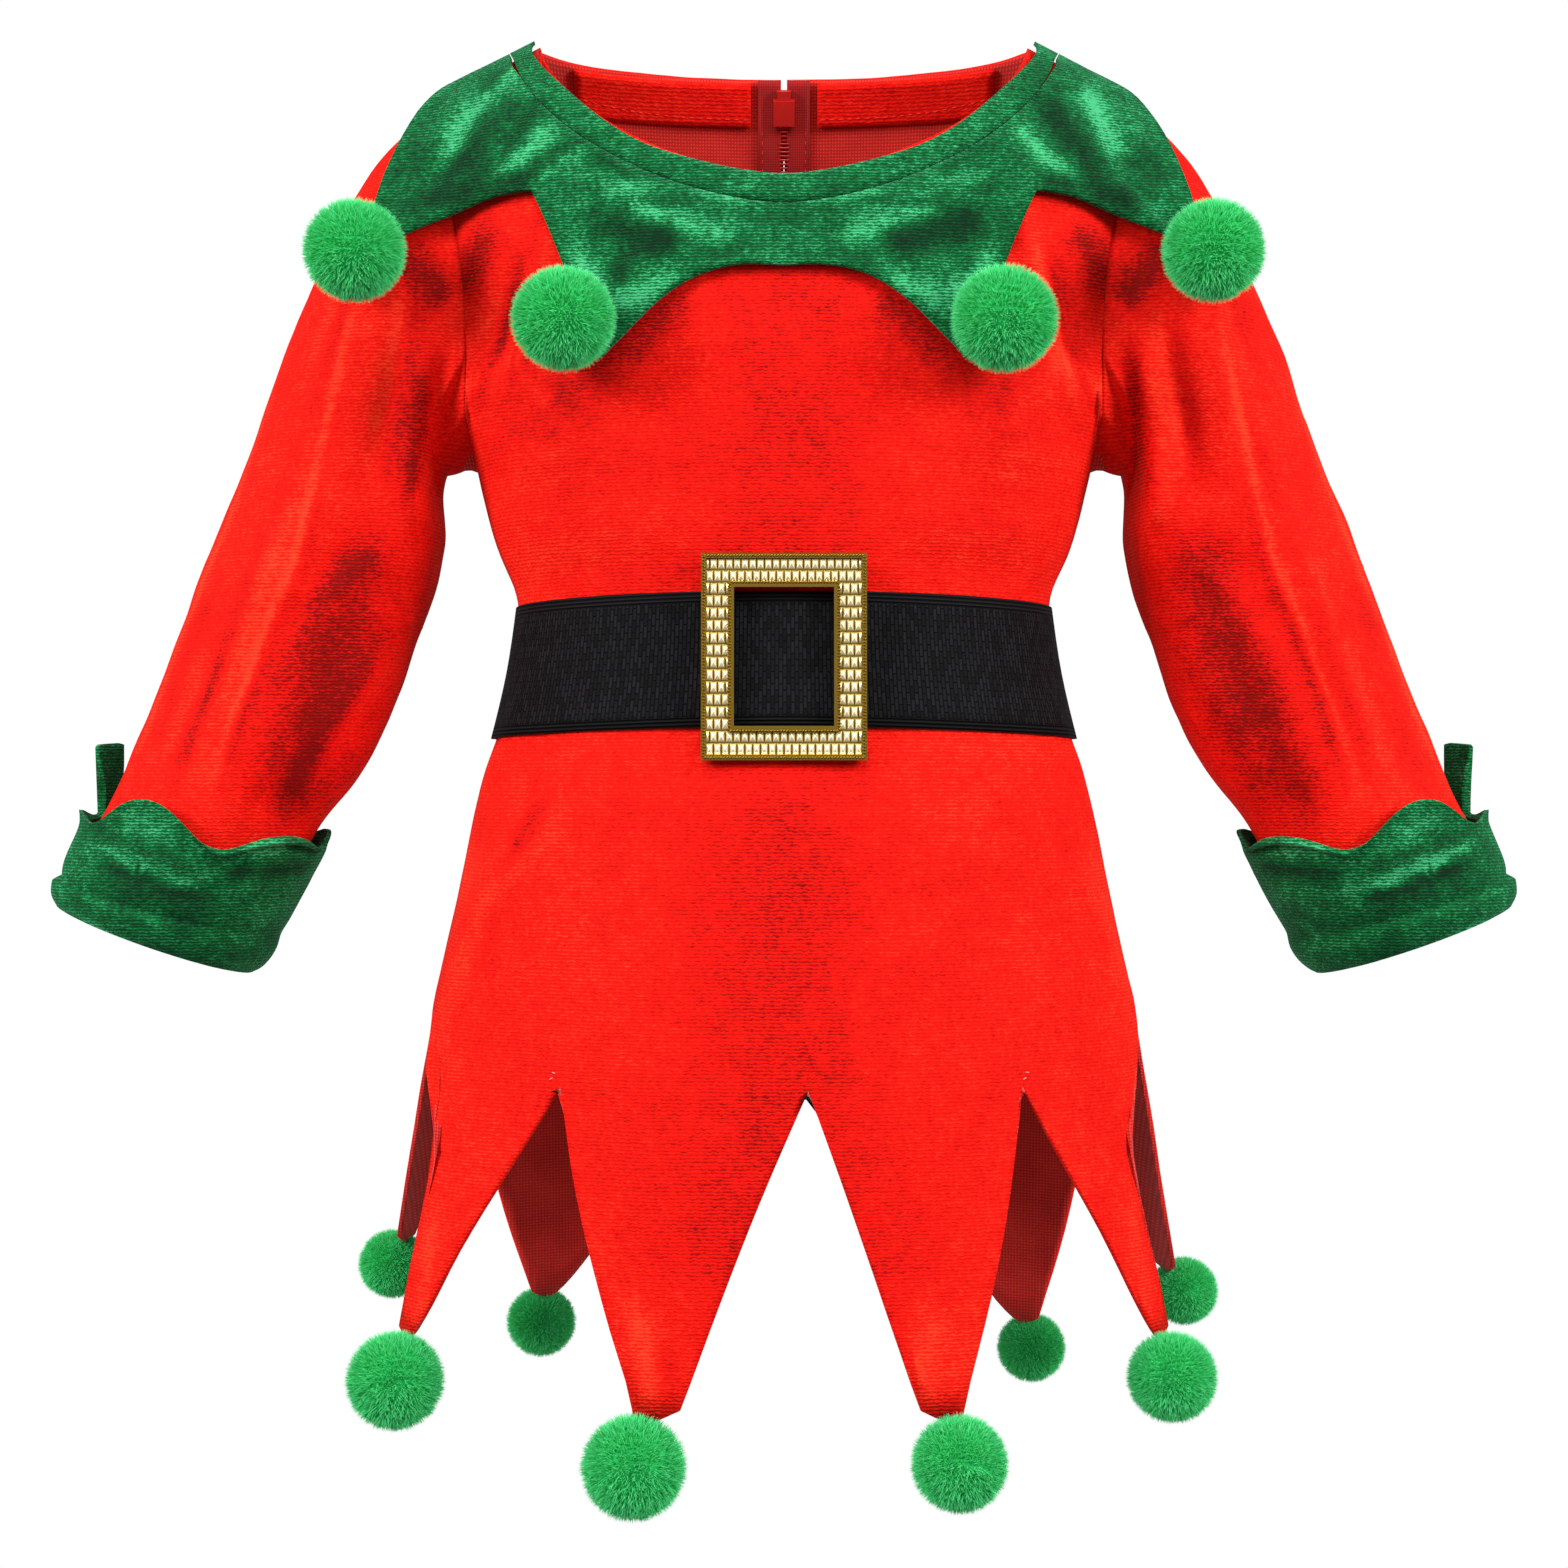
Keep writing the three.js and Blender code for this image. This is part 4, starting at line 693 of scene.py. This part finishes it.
# painted highlights along the sleeve's creases; painted shade in the folds, on the inner lower sleeve and
# under the collar
SLEEVE_PAINTED_LIGHT = [
    ([(160, -96), (174, -160), (184, -203), (194, -225), (207, -260), (216, -288), (221, -306)], 1.8, 0.9),
    ([(172, -170), (181, -206), (191, -228), (203, -261), (214, -292)], 3.4, -0.7),
    ([(190, -120), (204, -160), (213, -186), (234, -236), (248, -274), (254, -296)], 1.8, 0.8),
    ([(210, -196), (230, -245), (243, -285)], 3.0, -0.3),
    ([(152, -180), (166, -226), (184, -276), (196, -310)], 14, -1.3),
    ([(128, -118), (136, -150), (142, -186)], 4, -0.7),
    ([(148, -84), (136, -96), (124, -108)], 8, -1.5),
]


def sleeve_folds(point):
    return crease_push(point, SLEEVE_CREASES) if point.y < 0 else 0.0


def sleeve_painted_light(point):
    return painted_line_light(point, SLEEVE_PAINTED_LIGHT) * soft_step(-point.y, -10 * MM, 5 * MM)


for side, seed in (("left", 4), ("right", 5)):
    arm = cloth_piece(
        f"sleeve_skin_{side}", [f"sleeve_{side}_upper", f"sleeve_{side}_lower"], sleeve_out,
        [RED_VELVET, RED_KNIT], 0.7 * MM, 30 * MM, seed,
        levels=3, extra=sleeve_folds, pile=sleeve_painted_light,
    )

# %% [markdown]
# The cuffs and the collar are crushed green velvet. Their pile lies in all directions, so the finish
# is more patchy, and the surface has more small puckers than the red cloth.

# %% Cuffs, collar and neck band
CUFF_CREASES = [
    (262, -306, 212, -322, 3.0, 1.6), (264, -312, 214, -329, 2.8, -1.4), (250, -326, 214, -338, 3.4, 0.9),
    (232, -345, 200, -352, 3.4, -0.9), (196, -316, 214, -326, 3.0, 1.2),
]
COLLAR_CREASES = [
    (97, -8, 118, -30, 3.4, 1.6), (88, -16, 108, -52, 3.8, -1.4), (70, -46, 98, -66, 4.0, 1.6),
    (118, -24, 132, -64, 6.0, -1.5), (60, -66, 82, -70, 3.4, 1.3), (20, -74, 60, -76, 3.0, 1.2),
    (58, -84, 74, -118, 5.0, -1.6), (36, -86, 66, -108, 5.0, 1.6), (12, -82, 30, -94, 4.0, -1.0),
    (104, -36, 140, -80, 5.0, 1.4),
]
# painted highlights along the collar's fold edges and painted shade in its folds
COLLAR_PAINTED_LIGHT = [
    ([(112, -20), (122, -36), (128, -52)], 5, 0.8),
    ([(96, -26), (108, -44), (122, -62)], 6, -0.8),
    ([(84, -40), (98, -54), (116, -66)], 3.4, 0.8),
    ([(88, -66), (110, -62), (136, -72)], 4.5, -0.9),
    ([(134, -44), (146, -62)], 5, -0.5),
    ([(76, -48), (60, -60), (30, -70)], 3, -0.5),
    ([(80, -62), (56, -66), (20, -72), (4, -74)], 3, 0.7),
    ([(76, -76), (52, -86), (34, -92)], 6, -0.9),
    ([(60, -74), (36, -82), (16, -88)], 4, 0.7),
    ([(80, -84), (70, -104), (58, -112), (34, -98)], 3.6, 0.8),
    ([(66, -114), (62, -126)], 4, -0.7),
]
# painted highlights along the cuffs' rolls and petal edges and painted shade beneath them
CUFF_PAINTED_LIGHT = [
    ([(268, -338), (244, -352), (214, -362)], 2.6, 0.9),
    ([(262, -318), (240, -330), (214, -340)], 9, -0.4),
    ([(250, -300), (226, -306)], 4, 0.4),
    ([(264, -308), (240, -320), (216, -327)], 1.8, 0.7),
    ([(262, -312), (238, -324), (214, -331)], 1.8, -0.8),
    ([(204, -312), (186, -310)], 3, 0.7),
    ([(212, -322), (194, -320), (180, -318)], 2.4, -0.9),
    ([(200, -340), (186, -352)], 6, -0.4),
]


def collar_painted_light(point):
    return painted_line_light(point, COLLAR_PAINTED_LIGHT)


def cuff_painted_light(point):
    return painted_line_light(point, CUFF_PAINTED_LIGHT) if point.y < 0 else 0.0


def cuff_folds(point):
    return crease_push(point, CUFF_CREASES) if point.y < 0 else 0.0


def collar_folds(point):
    return crease_push(point, COLLAR_CREASES)


for side, seed in (("left", 6), ("right", 7)):
    cuff = cloth_piece(
        f"cuff_skin_{side}", f"cuff_{side}", sleeve_out, [GREEN_VELVET],
        0.4 * MM, 14 * MM, seed, extra=cuff_folds, soft_edge=0.4, pile=cuff_painted_light,
    )
collar = cloth_piece(
    "collar_skin", "collar", front_out, [GREEN_VELVET], 0.25 * MM, 12 * MM, 8,
    extra=collar_folds, pile=collar_painted_light, tufts=tufts_of("pompom_collar"),
)
band = cloth_piece(
    "neck_band_skin", "neck_band", front_out, [GREEN_VELVET], 0.0, 12 * MM, 9
)

# %% [markdown]
# Inside the neck two facings are turned in along the back edge, and the zip's woven tapes run down
# beside the seam. They are narrow and held flat, so they carry no ripples.

# %% Neck facings and zip tapes
for side, seed in (("left", 10), ("right", 11)):
    facing = cloth_piece(
        f"neck_facing_{side}", f"back_facing_{side}", body_out, [RED_VELVET],
        0.0, 12 * MM, seed,
    )
    tape = cloth_piece(
        f"zip_tape_weave_{side}", f"zip_tape_{side}", body_out, [ZIP_TAPE],
        0.0, 12 * MM, seed,
    )


# %% [markdown]
# The belt is a flat elastic band sewn into a ring. It is the solid's own form, rounded finer, with a UV
# map in millimetres: along the band by arc length, and across it from its lower edge.

# %% Belt
BELT_TOP = (-216.5, -219.0)
BELT_BOTTOM = (-266.3, -269.5)
ARC_STOPS = 181
ARC_REACH = 0.06


def lay_belt_map(mesh):
    angles = np.array([math.atan2(v.co.x, -v.co.y) for v in mesh.vertices])
    radius = np.array([math.hypot(v.co.x, v.co.y) for v in mesh.vertices]) / MM
    bins = np.linspace(-math.pi, math.pi, ARC_STOPS)
    mean = np.array([radius[np.abs(angles - b) < ARC_REACH].mean() for b in bins])
    arc = np.concatenate([[0], np.cumsum((mean[1:] + mean[:-1]) / 2 * np.diff(bins))])
    along = np.interp(angles, bins, arc)
    layer = mesh.uv_layers.new(name="belt_mm")
    for polygon in mesh.polygons:
        us = [along[mesh.loops[i].vertex_index] for i in polygon.loop_indices]
        wraps = max(us) - min(us) > arc[-1] / 2
        for i, u in zip(polygon.loop_indices, us):
            vertex = mesh.loops[i].vertex_index
            side = math.sin(angles[vertex]) ** 2
            top = BELT_TOP[0] + (BELT_TOP[1] - BELT_TOP[0]) * side
            bottom = BELT_BOTTOM[0] + (BELT_BOTTOM[1] - BELT_BOTTOM[0]) * side
            share = (mesh.vertices[vertex].co.z / MM - bottom) / (top - bottom)
            u = u + arc[-1] if wraps and u < arc[-1] / 2 else u
            layer.data[i].uv = (u, share * BELT_HEIGHT)


belt = cloth_piece("belt_band", "belt", body_out, [ELASTIC], 0.0, 10 * MM, 12)
lay_belt_map(belt.data)


# %% [markdown]
# The buckle is a cast frame, gold plated: two rims like fine rope with rows of small pyramids between
# them. The solid holds the frame, rims and pyramids. The rope's twist is added here as short slanted
# ribs that lie on both rims, made as one mesh from copies of one low rib.

# %% Rope ribs of the buckle
RIM_FRONT = -(PLATE_THICK + RIM_RISE)
RIM_PITCH = 1.15
RIMS = [(60.2, 75.4), (41.56, 56.0)]
RIM_WIDE = 1.8
RIB_HALF = (0.92, 0.42, 0.46)
RIB_SLANT = math.radians(68)
RIB_SINK = 0.05


def rope_ribs():
    bm = bmesh.new()
    for wide, high in RIMS:
        half_w, half_h = (wide - RIM_WIDE) / 2, (high - RIM_WIDE) / 2
        runs = [
            (Vector((-half_w, 0, -half_h)), Vector((1, 0, 0)), 2 * half_w),
            (Vector((half_w, 0, -half_h)), Vector((0, 0, 1)), 2 * half_h),
            (Vector((half_w, 0, half_h)), Vector((-1, 0, 0)), 2 * half_w),
            (Vector((-half_w, 0, half_h)), Vector((0, 0, -1)), 2 * half_h),
        ]
        for start, run, length in runs:
            count = round(length / RIM_PITCH)
            turn = math.atan2(run.z, run.x) + RIB_SLANT
            for i in range(count):
                along = length * (i + 0.5) / count
                centre = start + run * along + Vector((0, RIM_FRONT + RIB_SINK, 0))
                place = (
                    Matrix.Rotation(BUCKLE_LEAN, 4, "X")
                    @ Matrix.Translation(centre)
                    @ Matrix.Rotation(-turn, 4, "Y")
                    @ Matrix.Diagonal((*RIB_HALF, 1))
                )
                bmesh.ops.create_icosphere(bm, subdivisions=1, radius=1, matrix=place)
    bmesh.ops.scale(bm, verts=bm.verts, vec=(MM, MM, MM))
    bmesh.ops.translate(bm, verts=bm.verts, vec=BUCKLE_PLACE)
    return link_smooth("buckle_rope", bm, GOLD_DARK)


def coat_node(node, material):
    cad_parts[node].data.materials.clear()
    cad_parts[node].data.materials.append(material)


finish_piece(rope_ribs(), [])
coat_node("buckle", GOLD_PAINTED_LIGHT)


# %% [markdown]
# A pompom is many cut yarn ends round a tied core. Here a core ball carries thousands of thin
# three-sided fibres, spread evenly by the golden angle and leaned a little at random, with clumps that
# lean together as brushed yarn does. Their tips end on the ball that the solid holds.

# %% Pompoms
FIBRES = 9000
FIBRE_ROOT = 0.30
ROOT_RADIUS = 18 * MM
CORE_SHARE = 0.84
ROOT_SINK = 0.08
CLUMPS = 260
CLUMP_PULL = 0.45
STRAY = 0.05
TIP_SHARE = (0.94, 1.04)
# painted shade at the fibre roots and the core, painted highlight at the tips
ROOT_PAINTED_SHADE, CORE_PAINTED_SHADE, TIP_PAINTED_HIGHLIGHT = 0.18, 0.22, 0.86
TIP_SPREAD = 0.12
PULLED_SHADE, MEAN_PULL = 0.25, 0.22


def pompom(name, node, seed):
    low, high = (np.array(corner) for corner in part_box(node))
    centre = (low + high) / 2
    radius = float((high - low).max()) / 2
    chance = np.random.default_rng(seed)
    index = np.arange(FIBRES) + 0.5
    polar = np.arccos(1 - 2 * index / FIBRES)
    turn = math.pi * (1 + 5**0.5) * index
    ways = np.stack([np.cos(turn) * np.sin(polar), np.sin(turn) * np.sin(polar), np.cos(polar)], 1)
    clumps = chance.normal(size=(CLUMPS, 3))
    clumps /= np.linalg.norm(clumps, axis=1, keepdims=True)
    nearest = clumps[np.argmax(ways @ clumps.T, axis=1)]
    pull = chance.uniform(0.0, CLUMP_PULL, (FIBRES, 1))
    lean = ways * (1 - pull) + nearest * pull + chance.normal(0, STRAY, (FIBRES, 3))
    lean /= np.linalg.norm(lean, axis=1, keepdims=True)
    tip_radius = radius * chance.uniform(*TIP_SHARE, (FIBRES, 1))
    roots = ways * radius * (CORE_SHARE - ROOT_SINK)
    tips = lean * tip_radius
    side = np.cross(ways, chance.normal(size=(FIBRES, 3)))
    side /= np.linalg.norm(side, axis=1, keepdims=True)
    other = np.cross(ways, side)
    thick = FIBRE_ROOT * MM * radius / ROOT_RADIUS
    corners = [
        roots + thick * (math.cos(a) * side + math.sin(a) * other)
        for a in (0, 2 * math.pi / 3, 4 * math.pi / 3)
    ]
    points = np.stack([*corners, tips], 1).reshape(-1, 3) + centre
    base = (np.arange(FIBRES) * 4)[:, None, None]
    faces = base + np.array([[0, 1, 3], [1, 2, 3], [2, 0, 3], [0, 2, 1]])[None]
    bm = bmesh.new()
    bmesh.ops.create_icosphere(bm, subdivisions=4, radius=radius * CORE_SHARE)
    bmesh.ops.translate(bm, verts=bm.verts, vec=centre)
    core = bpy.data.meshes.new("core")
    bm.to_mesh(core)
    bm.free()
    core_points = np.array([v.co for v in core.vertices])
    core_faces = np.array([list(p.vertices) for p in core.polygons]) + len(points)
    bpy.data.meshes.remove(core)
    mesh = bpy.data.meshes.new(name)
    all_faces = np.concatenate([faces.reshape(-1, 3), core_faces])
    mesh.from_pydata(np.concatenate([points, core_points]), [], all_faces)
    tone = chance.uniform(-TIP_SPREAD, TIP_SPREAD, FIBRES)
    tone += PULLED_SHADE * (pull[:, 0] - MEAN_PULL)
    root_tone = np.full(FIBRES, ROOT_PAINTED_SHADE)
    shades = np.stack([root_tone, root_tone, root_tone, TIP_PAINTED_HIGHLIGHT + tone], 1).reshape(-1)
    shades = np.concatenate([shades, np.full(len(core_points), CORE_PAINTED_SHADE)])
    layer = mesh.attributes.new("shade", "FLOAT", "POINT")
    layer.data.foreach_set("value", shades.astype(np.float32))
    finish_piece(link_mesh(name, mesh, [GREEN_YARN]), [node])


POMPOM_NODES = sorted(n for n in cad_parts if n.startswith("pompom_"))
for seed, node in enumerate(POMPOM_NODES):
    pompom(node.replace("pompom", "yarn_ball"), node, seed)
print("pompoms", len(POMPOM_NODES), "fibres each", FIBRES)

# %% [markdown]
# The zip is the hidden kind: from outside only its seam and the pull tab show, and inside the neck
# the slider sits over a fine nylon coil. The coil is a row of small rounded bars across the middle.

# %% Zip coil and hardware
COIL_PITCH = 1.5
COIL_FROM, COIL_TO = -19.0, -194.0
COIL_BAR = (2.4 * MM, 0.8 * MM, 0.5 * MM)
COIL_SINK = 0.2 * MM
COIL_BESIDE = 3 * MM


def tape_points():
    # the inner face of the tape beside the coil, as (height, depth) pairs
    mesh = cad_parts["zip_tape_left"].data
    near = {}
    for vertex in mesh.vertices:
        if abs(vertex.co.x) < COIL_BESIDE:
            key = round(vertex.co.z, 4)
            near[key] = min(near.get(key, 1.0), vertex.co.y)
    heights = sorted(near)
    return heights, [near[h] for h in heights]


def coil():
    heights, depths = tape_points()
    bm = bmesh.new()
    count = int((COIL_FROM - COIL_TO) / COIL_PITCH)
    for i in range(count):
        z = (COIL_FROM - i * COIL_PITCH) * MM
        y = float(np.interp(z, heights, depths)) - COIL_SINK
        place = Matrix.Translation((0, y, z)) @ Matrix.Diagonal((*COIL_BAR, 1))
        bmesh.ops.create_icosphere(bm, subdivisions=2, radius=1, matrix=place)
    return link_smooth("zip_coil", bm, RED_LACQUER)


finish_piece(coil(), [])
for node in ("zip_slider", "zip_pull"):
    coat_node(node, RED_LACQUER)

# %% [markdown]
# Sewing shows in a few places only: a dotted line under the cuffs' petals, the rows that hold the neck
# facing and the zip tapes, and a pale tack in the two outer valleys of the front hem. Each line is
# drawn as a path in the front view and dropped onto the cloth along the depth.

# %% Stitches
STITCH_LONG = 2.2
STITCH_GAP = 1.1
STITCH_WIDE = 0.22
FROM_FRONT = -200
FROM_INSIDE = 0


def along_path(path, step):
    spots = []
    for (x, z), (x2, z2) in zip(path, path[1:]):
        length = math.hypot(x2 - x, z2 - z)
        count = max(int(length / step), 1)
        spots += [(x + (x2 - x) * i / count, z + (z2 - z) * i / count) for i in range(count)]
    return spots + [path[-1]]


def stitches(name, jobs, material):
    # jobs: target piece, depth to look from, path in mm; each gives a row of stitches
    bm = bmesh.new()
    share = STITCH_LONG / (STITCH_LONG + STITCH_GAP)
    for target, start, path in jobs:
        cloth = BVHTree.FromPolygons(
            [v.co for v in target.data.vertices], [list(p.vertices) for p in target.data.polygons]
        )
        spots = along_path(path, STITCH_LONG + STITCH_GAP)
        for (x, z), (x2, z2) in zip(spots, spots[1:]):
            ends = []
            for t in (0, share):
                at = Vector((x + (x2 - x) * t, start, z + (z2 - z) * t)) * MM
                hit = cloth.ray_cast(at, Vector((0, 1, 0)))[0]
                if hit:
                    ends.append(hit - Vector((0, STITCH_WIDE * 0.5 * MM, 0)))
            if len(ends) < 2:
                continue
            run = ends[1] - ends[0]
            middle = Matrix.Translation((ends[0] + ends[1]) / 2)
            turn = run.to_track_quat("X", "Z").to_matrix().to_4x4()
            size = Matrix.Diagonal((run.length / 2, STITCH_WIDE * MM, STITCH_WIDE * MM, 1))
            bmesh.ops.create_icosphere(bm, subdivisions=1, radius=1, matrix=middle @ turn @ size)
    finish_piece(link_smooth(name, bm, material), [])


CLOTH = {piece.name: piece for piece in scene.objects if piece.type == "MESH"}


def both_sides(name, start, path):
    return [
        (CLOTH[f"{name}_{side}"], start, [(sign * x, z) for x, z in path])
        for side, sign in (("left", -1), ("right", 1))
    ]


CUFF_ROW = [(256, -306), (240, -313), (216, -321)]
FACING_ROW = [(14.5, -18), (40, -17.5), (60, -16.4), (82, -13.4)]
TAPE_ROW = [(8.8, -22), (8.8, -60), (8.8, -110), (8.8, -190)]
inside_rows = both_sides("neck_facing", FROM_INSIDE, FACING_ROW)
inside_rows += both_sides("zip_tape_weave", FROM_INSIDE, TAPE_ROW)
tacks = [
    (CLOTH["front_panel"], FROM_FRONT, path)
    for x in (-84, 88.5)
    for path in ([(x - 1.6, -394.6), (x + 0.8, -393.4)], [(x - 0.6, -391.8), (x + 1.8, -392.6)])
]
cuff_rows = both_sides("cuff_skin", FROM_FRONT, CUFF_ROW)
stitches("cuff_stitches", cuff_rows, GREEN_THREAD)
stitches("inside_stitches", inside_rows, RED_THREAD)
stitches("hem_tacks", tacks, PINK_THREAD)
